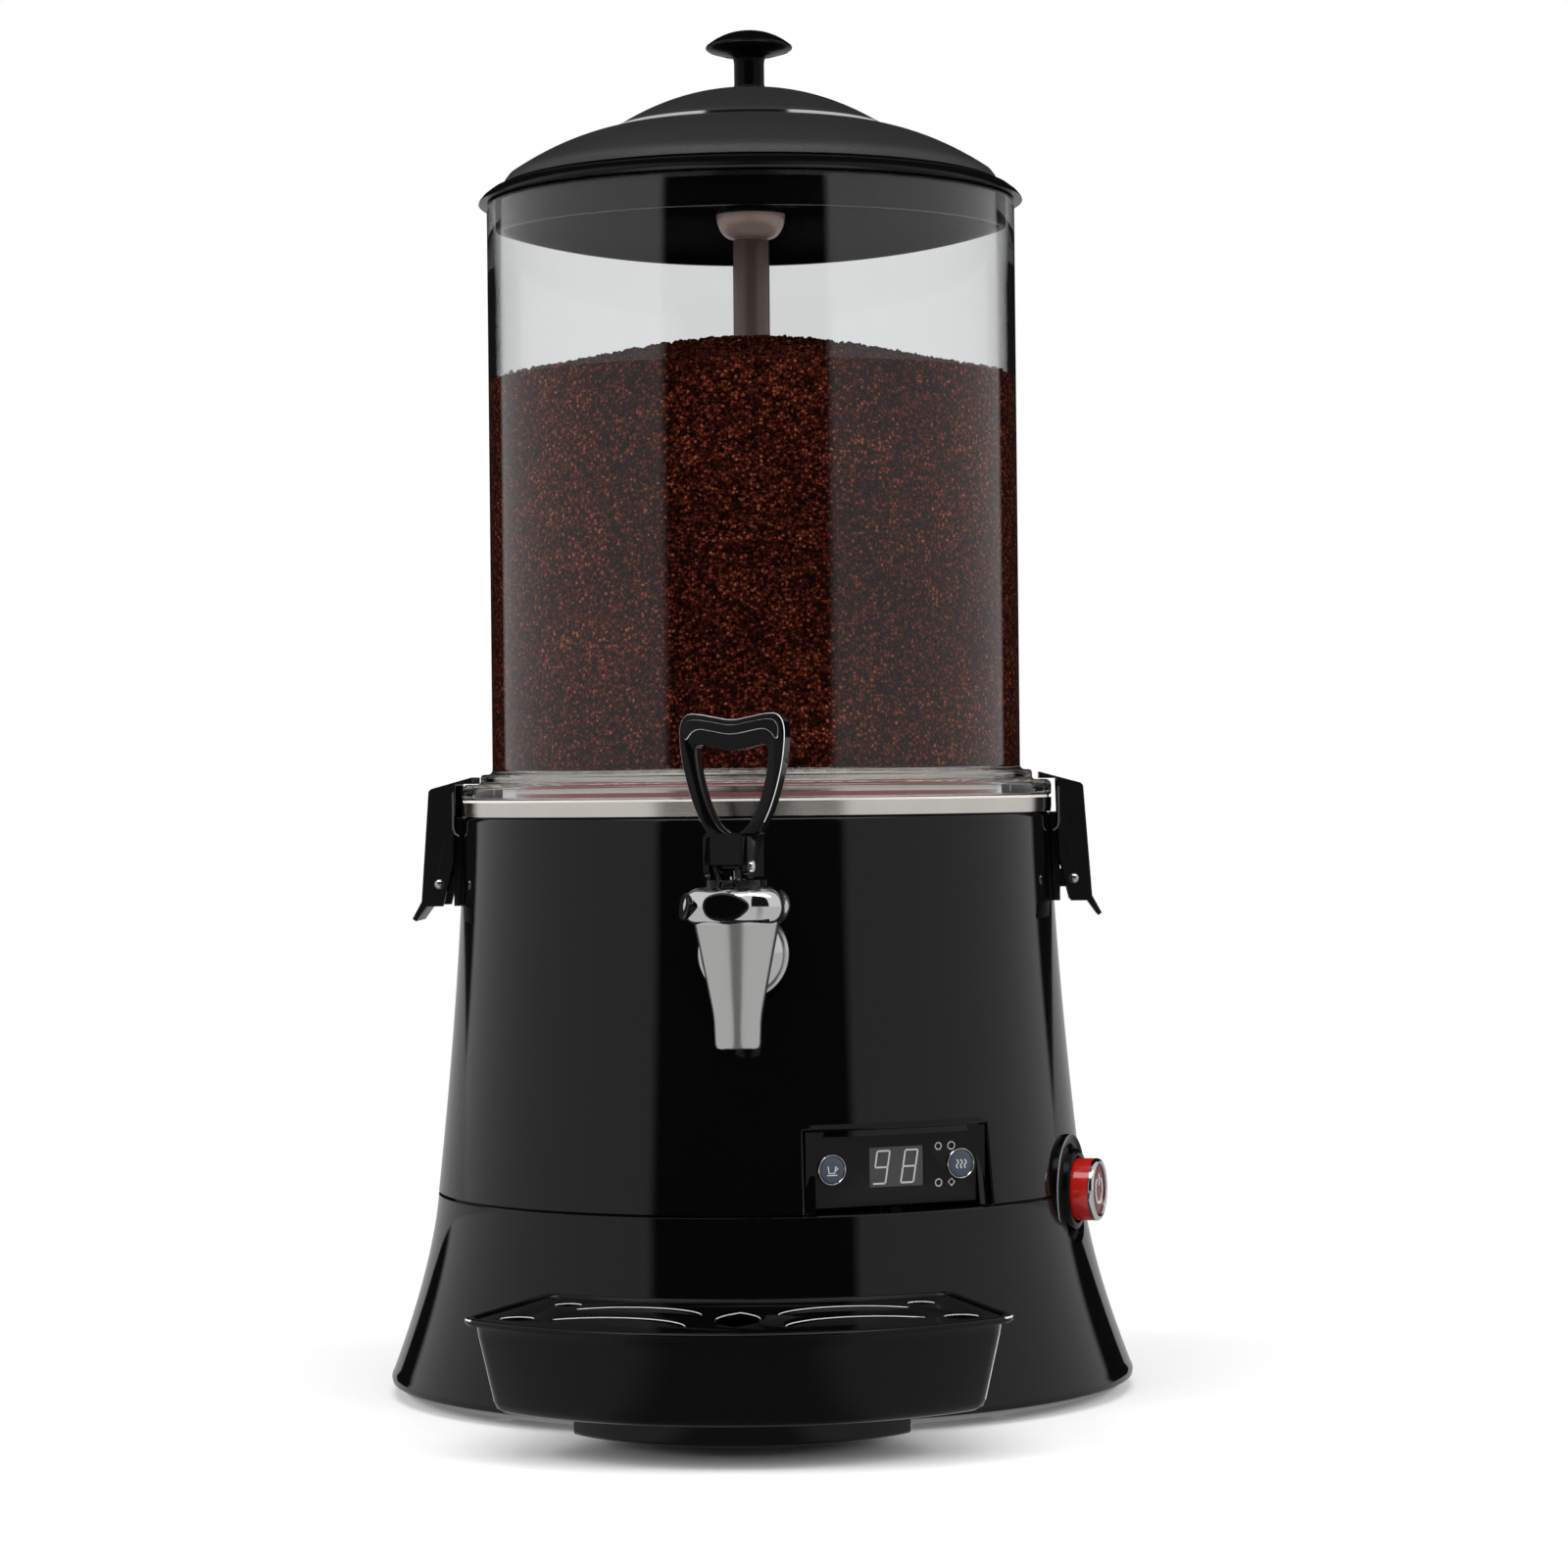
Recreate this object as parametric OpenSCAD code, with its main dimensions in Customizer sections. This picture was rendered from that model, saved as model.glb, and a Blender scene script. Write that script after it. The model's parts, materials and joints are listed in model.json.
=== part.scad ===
// Hot chocolate dispenser with a clear bowl, water bath base, lever tap and drip tray.
// Millimetres, +Z up, front towards -Y. The origin is on the bowl's axis at table level.

/* [Base] */
// Radius of the flared lower edge
base_r = 150; // [142:1:160]
// Height of the flared edge above the table
edge_z = 7; // [6:0.5:10]
// Height of the seam between skirt and housing
seam_z = 81; // [76:1:83]
// Widening of the casing from the housing's top to the seam
housing_flare = 11.4; // [8:0.2:15]
// Wall of the moulded casing
shell_wall = 2.6; // [2:0.1:3.5]
// Height of the rubber feet
foot_h = 3; // [2:0.5:4]
// Thickness of the base plate
plate_t = 2; // [1.5:0.25:3]
// Radius of the screw circle under the base
screw_circle_r = 134; // [130:1:137]

/* [Housing] */
// Step from the flange's edge in to the housing's top edge
housing_inset = 0.5; // [0.5:0.25:3]
// Height of the housing's top face
housing_top_z = 232; // [224:1:240]

/* [Water bath] */
// Step from the flange's edge in to the bath jacket
jacket_inset = 9.5; // [8:0.5:12]
// Height of the underside of the jacket floor
jacket_floor_z = 140; // [136:1:142]
// Sheet thickness of basin and jacket
sheet_t = 1.2; // [0.8:0.1:1.5]
// Step from the bowl's inside in to the basin's wall
basin_step = 1; // [0:0.5:4]
// Height of the basin's inner floor
basin_floor_z = 165; // [162:1:168]
// Height of the basin's folded rim
basin_rim_h = 4.5; // [3:0.5:6]
// Radius of the centre column
column_r = 9; // [8:0.5:10]

/* [Bowl] */
// Outer radius of the clear bowl
bowl_r = 107; // [105:0.5:109]
// Wall of the clear bowl
bowl_wall = 3; // [2:0.25:3.5]
// Height of the bowl's open edge
bowl_top_z = 479; // [440:1:500]
// Width of the flange round the bowl
flange_w = 12.5; // [11:0.5:14]
// Thickness of the bowl flange
flange_t = 6.5; // [5:0.5:8]
// Thickness of the gasket that shows under the flange
gasket_t = 0.8; // [0.5:0.1:1.5]
// Height of the fill at the bowl wall
fill_side_z = 408; // [300:1:420]
// Rise of the fill from the wall to the middle
fill_dome = 17; // [5:1:20]

/* [Agitator] */
// Radius of the agitator tube
tube_r = 7.4; // [6:0.2:8]
// Radius of the cup on the tube
cup_r = 14; // [11:0.5:16]
// Gap from the bowl's edge down to the cup
cup_drop = 4; // [2:0.5:8]
// Gap from the basin's wall to the paddle blades
paddle_gap = 19; // [16:1:40]
// Radius of the drive shaft
shaft_r = 4; // [3:0.25:4.5]

/* [Lid] */
// Height of the lid above the bowl's edge
lid_rise = 47; // [42:0.5:52]
// Radius of the upper tier
tier_r = 57; // [50:0.5:64]
// Wall of the lid
lid_wall = 2.4; // [2:0.1:3]
// Depth of the lid's rim over the bowl
lid_lap = 9; // [6:0.5:12]
// Radius of the knob's cap
knob_r = 17.6; // [14:0.2:20]
// Radius of the knob's stem
knob_stem_r = 6.1; // [5:0.1:7]
// Height of the knob
knob_h = 24; // [20:0.5:28]

/* [Tap] */
// Distance of the spout's axis from the bowl's axis
tap_reach = 172; // [168:1:180]
// Height of the tap shank's axis
tap_z = 180; // [178:1:184]
// Outer radius of the spout's tip
spout_tip_r = 8.5; // [8:0.1:10]
// Height of the spout's mouth
spout_mouth_z = 147; // [142:1:152]
// Height of the tap head's top face
head_top_z = 206; // [204:0.5:208]
// Largest radius of the tap head
head_r = 20.5; // [19:0.25:22]
// Radius of the tap shank
shank_r = 8; // [7:0.25:9]
// Half width of the handle loop
loop_half_w = 20; // [17:0.5:23]
// Height of the handle loop
loop_h = 47; // [40:1:54]
// Thickness of the handle loop
loop_t = 8; // [6:0.5:10]
// Turn of the handle about the tap's stem, in degrees to the left
handle_turn = 17; // [0:1:25]

/* [Drip tray] */
// Half width of the tray between its tips
tray_half_w = 101; // [92:1:110]
// Distance of the tray's front from the bowl's axis
tray_front = 243; // [230:1:255]
// Distance of the tray's tips from the bowl's axis, towards the front
tray_tip_y = 192; // [186:1:198]
// Height of the tray's rim
tray_rim_z = 51; // [48:1:55]
// Depth of the tray
tray_depth = 35; // [30:1:37]
// Wall of the tray
tray_wall = 2.5; // [2:0.1:3]
// Thickness of the grate
grate_t = 3; // [2:0.25:4]
// Half width of the shelf under the tray
shelf_half_w = 62; // [50:1:70]

/* [Controls] */
// Width of the control panel
panel_w = 77; // [74:0.5:80]
// Height of the control panel
panel_h = 29; // [28:0.5:31]
// Direction of the panel, in degrees from the front
panel_angle = 28; // [27:0.5:32]
// Radius of the panel buttons
key_r = 5.2; // [4.5:0.1:5.6]
// Direction of the power switch, in degrees from the front
switch_angle = 74; // [72:1:90]
// Radius of the red power button
power_r = 12.35; // [11:0.05:13]
// Outer radius of the switch collar
collar_r = 21.8; // [20:0.2:23]

/* [Latches] */
// Width of a latch lever
latch_w = 32; // [26:1:38]
// Radius of a latch pin
latch_pin_r = 2; // [1.5:0.1:2.5]

/* [Clearances] */
// Radial play of a pin or shaft in its hole
run_fit = 0.05; // [0.02:0.01:0.08]
// Gap between pieces that must not rub
seat_gap = 0.3; // [0.25:0.05:0.45]

/* [Hidden] */
$fn = 96;

// How fast the two casing walls flare on their way down
housing_curve = 1.5;
skirt_curve = 1.45;
profile_steps = 14;
plate_top = foot_h + plate_t;
cut = 1;
// Facets round a wall that a thin piece is cut to
fine_fn = 720;

// Radii that follow the bowl
bowl_in = bowl_r - bowl_wall;
flange_r = bowl_r + flange_w;
basin_r = bowl_in - basin_step;
jacket_r = flange_r - jacket_inset;
housing_top_r = flange_r - housing_inset;
seam_r = housing_top_r + housing_flare;
paddle_r = basin_r - paddle_gap;

// Length of a tool that cuts right through a wall, and of one that stays near it
long_tool = 60;
short_tool = 12;

// Stack at the mouth of the base
top_t = 3;
jacket_rim_z = housing_top_z + sheet_t;
basin_top_z = jacket_rim_z + basin_rim_h;
flange_z = basin_top_z + gasket_t;
flange_top = flange_z + flange_t;
flange_step = 4;
flange_step_w = 4;
flange_step_lean = 1;
gasket_inset = 1;
basin_fillet = 12;
basin_out = basin_r + sheet_t;

// Drive train from the base upwards
bracket_t = 3;
bracket_top = jacket_floor_z - 13;
bracket_z = bracket_top - bracket_t;
bracket_r = jacket_r - 18;
pillar_circle_r = bracket_r - 14;
pillar_r = 6;
gearbox_w = 64;
gearbox_h = 26;
motor_can_r = 24;
motor_can_h = 52;
boss_r = 11;
boss_h = 8;
column_foot_z = jacket_floor_z - 5;
column_top_z = basin_floor_z + 35;
column_bore_r = shaft_r + 2.5;
bush_h = 8;
nut_wall = 9;
nut_below = 0.5;
shaft_foot_z = bracket_z - 12;
socket_z = column_top_z + 4;
socket_h = 8;
hex_r = shaft_r + 0.5;
heater_ring_r = 58;
heater_tube_r = 4;
heater_z = (jacket_floor_z + sheet_t + basin_floor_z - sheet_t) / 2;
heater_gap = 30;
heater_leg_below = 6;
probe_angle = 150;
probe_r = 3;
probe_in = 20;
probe_len = 27;
probe_hex_wall = 3;
probe_hex_t = 4;
rim_set = 0.2;
spigot_wall = 2.5;
spigot_sink = 0.2;
spigot_out = 1;
motor_hole = 25;
motor_screw_len = 9;
motor_screw_end = 0.5;
motor_screw_head = 2.4;
shaft_end_play = 0.5;
bush_play = 0.02;

// Agitator levels
cup_top_z = bowl_top_z - cup_drop;
cup_h = 11.5;
sleeve_r = column_r + 4;
sleeve_foot_z = basin_floor_z + 2.5;
sleeve_top_z = socket_z + socket_h + 2;
sleeve_play = 0.6;
hex_play = 0.1;
tube_wall = 2;
tube_plug = 10;
paddle_t = 4;
paddle_h = 12.5;
paddle_play = 1.5;
sleeve_slope = 3;
cup_waist = 4;
cup_waist_h = 3;
cup_lip = 2;
cup_well = 7;

// Lid outline: two tiers, then a bead that laps the bowl
lid_top_z = bowl_top_z + lid_rise;
lid_foot_z = bowl_top_z - lid_lap;
bead_lean = 0.6;
bead_r = bowl_r + seat_gap + lid_wall + bead_lean;
bead_round = 7;
skirt_drop = 4;
skirt_play = 1.2;
dome_in = 3;
dome_wall = lid_wall * 1.2;
boss_stop = 3;
inner_skirt_r = bowl_in - skirt_play;
shoulder_r = bowl_r - 9;
shoulder_rise = 12;
bead_rise = 2;
tier_drop = 1.2;
upper_drop = 17;
boss_pipe_r = 6;
knob_post_r = 14;
knob_top_z = lid_top_z + knob_h;
knob_foot = 1;
knob_foot_h = 3;
knob_neck = 10;
knob_flare = 4;
knob_flare_h = 8.5;
knob_edge = 3;
knob_under = 8;
knob_lip = 1.6;
knob_lip_h = 6;
knob_crown = 4;
knob_bore = 12;
screw_end = 0.5;
knob_screw_z = cup_top_z + 2;
knob_screw_head = 1.5;

// Tap levels
tip_len = 13.5;
cone_top_r = 15.5;
head_round = 2;
cone_top_z = head_top_z - 13;
mouth_r = spout_tip_r - 2;
chamber_r = 10;
chamber_z = tap_z - 8;
stem_r = 2.4;
tap_boss_r = 11;
tap_boss_len = 24;
tap_boss_back = tap_reach - tap_boss_len;
shank_set = 1.5;
locknut_gap = 1.6;
shank_socket = 10;
water_way_r = 5;
bonnet_t = 3;
pivot_z = head_top_z + 8;
pivot_y = tap_reach + 7;
pivot_pin_r = 1.6;
cheek_half_w = 8.6;
slot_half_w = 6.4;
neck_depth = 18;
loop_z = head_top_z + 17;
loop_band = 6.5;
slot_top_z = loop_z + 2.5;
pivot_cheek_r = pivot_z - head_top_z - bonnet_t - seat_gap;
cheek_foot_z = head_top_z + bonnet_t + 1;
lift_arm = 11;
stem_head_rise = 2.4;
stem_head_z = pivot_z + stem_head_rise;
stem_head_w = 2.2;
stem_head_t = 2;
seal_play = 0.6;
ear_play = 0.6;
bonnet_inset = 3;
cup_seal_h = 6;
seal_gap = 0.2;
spring_coil_r = 6;
spring_wire_r = 0.7;
spring_turns = 6;
spring_foot_z = chamber_z + seal_gap + cup_seal_h + spring_wire_r + seat_gap;
spring_top_z = head_top_z - spring_wire_r - seat_gap;
inlay_w = 17;
inlay_h = 10;
inlay_t = 1.6;
inlay_z = cone_top_z + 6;
inlay_angles = [-75, -8];
inlay_reach = 18.6;
inlay_sink = 1;

// Drip tray outline
tray_bow = tray_front - tray_tip_y;
tray_arc_r = (tray_half_w * tray_half_w + tray_bow * tray_bow) / (2 * tray_bow);
tray_arc_y = tray_front - tray_arc_r;
tray_back_x = 77;
tray_back_y = 100;
tray_taper = 6.5;
tray_rim_out = 4;
tray_rim_t = 3;
tray_gap = 1.2;
tray_floor_z = tray_rim_z - tray_depth;
shelf_front = 205;
shelf_back = 118;
shelf_arc_r = 75;
slot_w = 6;
skin_t = 0.1;
slot_rows = [[66, 13, 56], [97, 9, 43]];

// Panel stack, counted inwards from the panel's face
panel_t = 3;
panel_z = seam_z + panel_h / 2 + 2;
panel_face = sqrt(pow(housing_r(panel_z + panel_h / 2), 2) - pow(panel_w / 2, 2)) - 0.4;
panel_ledge = 3;
key_x = 27.6;
key_travel = 0.8;
key_proud = 1.2;
board_t = 1.6;
board_z = -13.6;
window_w = 23;
window_h = 15.4;
window_t = 1;
digit_w = 7;
digit_h = 11;
digit_t = 0.3;
digit_line = 1.4;
lamp_r = 1.1;
lamp_x = [18.2, 23.8];
lamp_y = 7;
lamp_t = 0.8;
lamp_proud = 0.2;
standoff_r = 2.5;
tact_h = 3;
tact_w = 6;
key_lift = 0.2;
key_foot_z = board_z + board_t + tact_h + key_travel + key_lift;
key_play = run_fit + 0.05;
key_ring_w = 1.1;
key_ring_play = 0.2;
key_ring_t = 0.6;
module_inset = 2.6;
digit_space = 2.4;
digit_lift = 0.2;
digit_z = -window_t - digit_t - digit_lift;
board_inset = 8;
chip_x = 5;
chip_w = 20;
chip_h = 12;
chip_t = 7;
chip_sink = 0.1;
standoff_in = 7;

// Power switch, counted outwards from the collar's face
switch_z = seam_z + 1;
switch_face = seam_r - 1.4;
collar_depth = 14;
collar_ring_r = power_r + 3.6;
collar_dish = 2.5;
collar_ring_h = 4;
power_proud = 13;
power_travel = 3;
power_play = 0.4;
power_stop = 0.6;
power_foot = -collar_depth + power_travel + power_stop;
power_edge = 1.5;
power_rim = 2.2;
power_lean = 0.4;
power_sink = 1;
collar_rim = 1.6;
switch_len = 24;
switch_wall = 3;
tab_len = 8;
tab_w = 14;
tab_t = 3;

// Latch outline
latch_wall = 2.5;
latch_pin_out = 8.5;
latch_pin_r_pos = flange_r + latch_pin_out;
latch_pin_drop = 40;
latch_pin_z = flange_top - latch_pin_drop;
latch_hook_t = 3;
latch_hook_lap = 5;
latch_hook_in = flange_r - latch_hook_lap;
latch_fall = 1.5;
latch_tail = 9;
latch_skin_out = 12.5;
latch_skin_low = 15.7;
latch_lip_out = 19.5;
latch_edge = 1;
latch_lean = 0.4;
latch_clear = 1.8;
latch_clear_low = 2.6;
latch_clear_h = 4;
lip_bend = 2;
lip_drop = 5;
lip_t = 1.5;
ear_root = 14;
ear_r = 3.4;
bracket_skin = 2.6;
bracket_low = 9;
bracket_h = housing_top_z - seat_gap - latch_pin_z + bracket_low;
ear_t = 2.5;
ear_x = latch_w / 2 - latch_wall - ear_t - 1.5;

function housing_r(z) = housing_top_r + (seam_r - housing_top_r)
    * pow(max(0, housing_top_z - z) / (housing_top_z - seam_z), housing_curve);
function skirt_r(z) = seam_r + (base_r - seam_r)
    * pow(max(0, seam_z - z) / (seam_z - edge_z), skirt_curve);
function span(a, b, n) = [for (i = [0:n]) a + (b - a) * i / n];
function backwards(list) = [for (i = [len(list) - 1:-1:0]) list[i]];
function housing_line(grow) = [for (z = span(seam_z, housing_top_z, profile_steps))
    [housing_r(z) + grow, z]];
function skirt_line(grow) = [for (z = span(edge_z, seam_z, profile_steps)) [skirt_r(z) + grow, z]];
function quarter(cx, cz, r, a0, a1) = [for (a = span(a0, a1, 8)) [cx + r * cos(a), cz + r * sin(a)]];

module ring(outer, inner, z0, z1) {
    translate([0, 0, z0])
        difference() {
            cylinder(r = outer, h = z1 - z0);
            translate([0, 0, -cut]) cylinder(r = inner, h = z1 - z0 + 2 * cut);
        }
}

// Puts a shape on the casing: local z points outwards, local y up
module facing(angle, reach, height) {
    rotate([0, 0, angle]) translate([0, -reach, height]) rotate([90, 0, 0]) children();
}

module block(w, h, z0, z1) {
    translate([-w / 2, -h / 2, z0]) cube([w, h, z1 - z0]);
}

module at_panel() facing(panel_angle, panel_face, panel_z) children();
module at_switch() facing(switch_angle, switch_face, switch_z) children();

module at_corners(r) for (k = [0:3]) rotate([0, 0, 45 + 90 * k]) translate([r, 0, 0]) children();

module housing_core(grow) {
    rotate_extrude()
        polygon(concat([[0, seam_z]], housing_line(grow), [[0, housing_top_z]]));
}

module skirt_core(grow) {
    rotate_extrude()
        polygon(concat([[0, -cut], [base_r + grow, -cut]], skirt_line(grow), [[0, seam_z]]));
}

// Casing

module screw_places() {
    at_corners(screw_circle_r) children();
    for (s = [-1, 1]) translate([s * (shelf_half_w - shelf_screw_in), -(shelf_back + shelf_screw_out),
        0]) children();
}

screw_r = 2;
shelf_screw_in = 20;
shelf_screw_out = 10;
plate_inset = 4;
plate_hole_r = 30;
screw_play = 0.2;
foot_r = 9;
foot_bore_r = 3;
foot_skin = 1;
foot_inset = 20;
screw_head_r = 3.8;
screw_head_h = 1.8;
screw_len = 10;
boss_wall = 3;
boss_tall = 15;

module base_plate() color("#1b1b1c") difference() {
    ring(base_r - plate_inset, plate_hole_r, foot_h, plate_top);
    screw_places() translate([0, 0, foot_h - cut]) cylinder(r = screw_r + screw_play, h = plate_t + 2 * cut);
}

module rubber_feet() color("#222222") at_corners(screw_circle_r - foot_inset) difference() {
    cylinder(r = foot_r, h = foot_h);
    translate([0, 0, -cut]) cylinder(r = foot_bore_r, h = foot_h - foot_skin + cut);
}

module base_screws() color("#8d8f91") screw_places() {
    translate([0, 0, foot_h - screw_head_h]) cylinder(r = screw_head_r, h = screw_head_h);
    translate([0, 0, foot_h]) cylinder(r = screw_r, h = screw_len);
}

register_t = 2;
register_lap = 1.6;
ledge_w = 26;

module base_skirt() color("#0b0b0c") difference() {
    union() {
        rotate_extrude()
            polygon(concat([[base_r - ledge_w, plate_top], [base_r, plate_top]], skirt_line(0),
                backwards(skirt_line(-shell_wall)), [[base_r - ledge_w, edge_z]]));
        ring(seam_r - shell_wall - seat_gap, seam_r - shell_wall - seat_gap - register_t,
            seam_z - register_t, seam_z + register_lap);
        ring(seam_r - cut, seam_r - shell_wall - register_t, seam_z - 2 * register_t, seam_z - register_t);
        at_corners(screw_circle_r) cylinder_up(screw_r + boss_wall, plate_top, plate_top + boss_tall);
    }
    at_corners(screw_circle_r) translate([0, 0, plate_top - cut])
        cylinder(r = screw_r + run_fit, h = screw_len + cut);
    translate([-shelf_half_w - seat_gap, -base_r - cut, 0])
        cube([2 * (shelf_half_w + seat_gap), base_r - shelf_back + 2 * cut, tray_floor_z + seat_gap]);
    at_switch() translate([0, 0, -collar_depth - cut]) cylinder(r = collar_r + seat_gap, h = long_tool);
    at_panel() block(panel_w + 2 * shell_wall, panel_h + 2 * shell_wall, -panel_t - shell_wall - cut,
        long_tool);
    facing(180, skirt_r(gland_z) - short_tool, gland_z) cylinder(r = gland_r + seat_gap, h = 2 * short_tool);
}

module upper_housing() color("#0b0b0c") difference() {
    union() {
        rotate_extrude()
            polygon(concat(housing_line(0), backwards(housing_line(-shell_wall))));
        ring(housing_top_r, jacket_r + seat_gap, housing_top_z - top_t, housing_top_z);
        intersection() {
            housing_core(0);
            at_panel() block(panel_w + 2 * shell_wall, panel_h + 2 * shell_wall, -panel_t - shell_wall,
                long_tool);
        }
    }
    at_panel() block(panel_w + 2 * seat_gap, panel_h + 2 * seat_gap, -panel_t, long_tool);
    at_panel() block(panel_w - 2 * panel_ledge, panel_h - 2 * panel_ledge, -panel_t - short_tool, cut);
    at_switch() translate([0, 0, -collar_depth - cut]) cylinder(r = collar_r + seat_gap, h = long_tool);
    facing(0, jacket_r, tap_z) cylinder(r = shank_r + seat_gap, h = long_tool);
}

module tray_shelf() color("#141415") difference() {
    translate([0, 0, plate_top])
        linear_extrude(tray_floor_z - plate_top)
            intersection() {
                translate([0, shelf_arc_r - shelf_front]) circle(r = shelf_arc_r);
                translate([-shelf_half_w, -shelf_front - cut])
                    square([2 * shelf_half_w, shelf_front + cut - shelf_back]);
            }
    screw_places() translate([0, 0, plate_top - cut]) cylinder(r = screw_r + run_fit, h = screw_len + cut);
}

gland_z = 30;
gland_r = 8;
gland_bore_r = 4;
gland_len = 26;
gland_inside = 14;
gland_nut_wall = 3;
gland_nut_t = 5;
gland_nut_out = 3.8;
gland_nut_in = 7;

module cord_gland() color("#18181a") difference() {
    facing(180, skirt_r(gland_z), gland_z) {
        cylinder_up(gland_r, -gland_inside, gland_len - gland_inside);
        cylinder_up(gland_r + gland_nut_wall, gland_nut_out, gland_nut_out + gland_nut_t, $fn = 6);
        cylinder_up(gland_r + gland_nut_wall, -gland_nut_in - gland_nut_t, -gland_nut_in, $fn = 6);
    }
    facing(180, skirt_r(gland_z), gland_z) cylinder_up(gland_bore_r, -gland_len, gland_len);
}

// Water bath

module steel_basin() color("#c9c6bd") difference() {
    union() {
        rotate_extrude() polygon(concat(
            [[column_r - cut, basin_floor_z - sheet_t]],
            [[basin_out - basin_fillet, basin_floor_z - sheet_t]],
            quarter(basin_out - basin_fillet, basin_floor_z - sheet_t + basin_fillet, basin_fillet, -80, 0),
            [[basin_out, basin_top_z - sheet_t], [flange_r - sheet_t, basin_top_z - sheet_t],
             [flange_r - sheet_t, jacket_rim_z], [flange_r, jacket_rim_z], [flange_r, basin_top_z],
             [basin_r, basin_top_z]],
            backwards(quarter(basin_r - basin_fillet, basin_floor_z + basin_fillet, basin_fillet, -90, 0)),
            [[column_r - cut, basin_floor_z]]));
        translate([0, 0, column_foot_z]) cylinder(r = column_r, h = column_top_z - column_foot_z);
        facing(0, basin_r + spigot_sink, tap_z)
            cylinder(r = shank_r + spigot_wall, h = jacket_r + spigot_out - basin_r);
    }
    cylinder_up(column_bore_r, column_foot_z - cut, column_top_z + cut);
    facing(0, basin_r - short_tool / 2, tap_z) cylinder(r = shank_r + run_fit, h = long_tool);
}

module bath_jacket() color("#a9abac") difference() {
    rotate_extrude() polygon([
        [column_r + seat_gap, jacket_floor_z], [jacket_r, jacket_floor_z], [jacket_r, housing_top_z],
        [flange_r - rim_set, housing_top_z], [flange_r - rim_set, jacket_rim_z],
        [jacket_r - sheet_t, jacket_rim_z],
        [jacket_r - sheet_t, jacket_floor_z + sheet_t], [column_r + seat_gap, jacket_floor_z + sheet_t]]);
    facing(0, jacket_r - short_tool / 2, tap_z)
        cylinder(r = shank_r + spigot_wall + seat_gap, h = short_tool);
    heater_legs(heater_tube_r + seat_gap);
    facing(probe_angle, jacket_r - short_tool / 2, heater_z) cylinder(r = probe_r + run_fit, h = short_tool);
}

module heater_legs(r) {
    for (s = [-1, 1])
        rotate([0, 0, 90 + s * heater_gap / 2])
            translate([heater_ring_r, 0, 0]) cylinder_up(r, jacket_floor_z - heater_leg_below, heater_z);
}

module heater_element() color("#6f7173") union() {
    rotate([0, 0, 90 + heater_gap / 2])
        translate([0, 0, heater_z])
            rotate_extrude(angle = 360 - heater_gap)
                translate([heater_ring_r, 0]) circle(r = heater_tube_r, $fn = 32);
    heater_legs(heater_tube_r);
    for (s = [-1, 1])
        rotate([0, 0, 90 + s * heater_gap / 2])
            translate([heater_ring_r, 0, heater_z]) sphere(r = heater_tube_r, $fn = 32);
}

module temperature_probe() color("#b5a16a") facing(probe_angle, jacket_r - probe_in, heater_z) {
    cylinder(r = probe_r, h = probe_len);
    translate([0, 0, probe_in + seat_gap]) cylinder(r = probe_r + probe_hex_wall, h = probe_hex_t, $fn = 6);
}

module column_nut() color("#9b9d9f") difference() {
    cylinder_up(column_r + nut_wall, column_foot_z - nut_below, jacket_floor_z, $fn = 6);
    cylinder_up(column_r + run_fit, column_foot_z - nut_below - cut, jacket_floor_z + cut);
}

module support_pillars() color("#85878a") at_corners(pillar_circle_r)
    translate([0, 0, plate_top]) cylinder(r = pillar_r, h = bracket_z - plate_top);

module jacket_spacers() color("#85878a") at_corners(pillar_circle_r)
    translate([0, 0, bracket_top]) cylinder(r = pillar_r, h = jacket_floor_z - bracket_top);

// Drive

module motor_corners() for (x = [-1, 1], y = [-1, 1]) translate([x * motor_hole, y * motor_hole, 0])
    children();

module motor_bracket() color("#7d8083") difference() {
    ring(bracket_r, boss_r + seat_gap, bracket_z, bracket_top);
    motor_corners() cylinder_up(screw_r + run_fit, bracket_z - cut, bracket_top + cut);
}

module gear_motor() color("#3c3f43") difference() {
    union() {
        translate([0, 0, bracket_z - gearbox_h]) block(gearbox_w, gearbox_w, 0, gearbox_h);
        translate([0, 0, bracket_z - gearbox_h - motor_can_h]) cylinder(r = motor_can_r, h = motor_can_h);
        translate([0, 0, bracket_z]) cylinder(r = boss_r, h = boss_h);
    }
    translate([0, 0, shaft_foot_z - shaft_end_play]) cylinder(r = shaft_r + run_fit, h = long_tool);
    motor_corners() cylinder_up(screw_r + run_fit, bracket_z - motor_screw_len - motor_screw_end,
        bracket_top);
}

module motor_screws() color("#8d8f91") motor_corners() {
    translate([0, 0, bracket_top]) cylinder(r = screw_head_r, h = motor_screw_head);
    translate([0, 0, bracket_z - motor_screw_len]) cylinder(r = screw_r, h = bracket_t + motor_screw_len);
}

module drive_shaft() color("#b9bbbd") {
    translate([0, 0, shaft_foot_z]) cylinder(r = shaft_r, h = socket_z - shaft_foot_z);
    translate([0, 0, socket_z]) cylinder(r = hex_r, h = socket_h, $fn = 6);
}

module shaft_bushes() color("#d8d2c2") {
    ring(column_bore_r - bush_play, shaft_r + run_fit, column_foot_z, column_foot_z + bush_h);
    ring(column_bore_r - bush_play, shaft_r + run_fit, column_top_z - bush_h, column_top_z);
}

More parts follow.
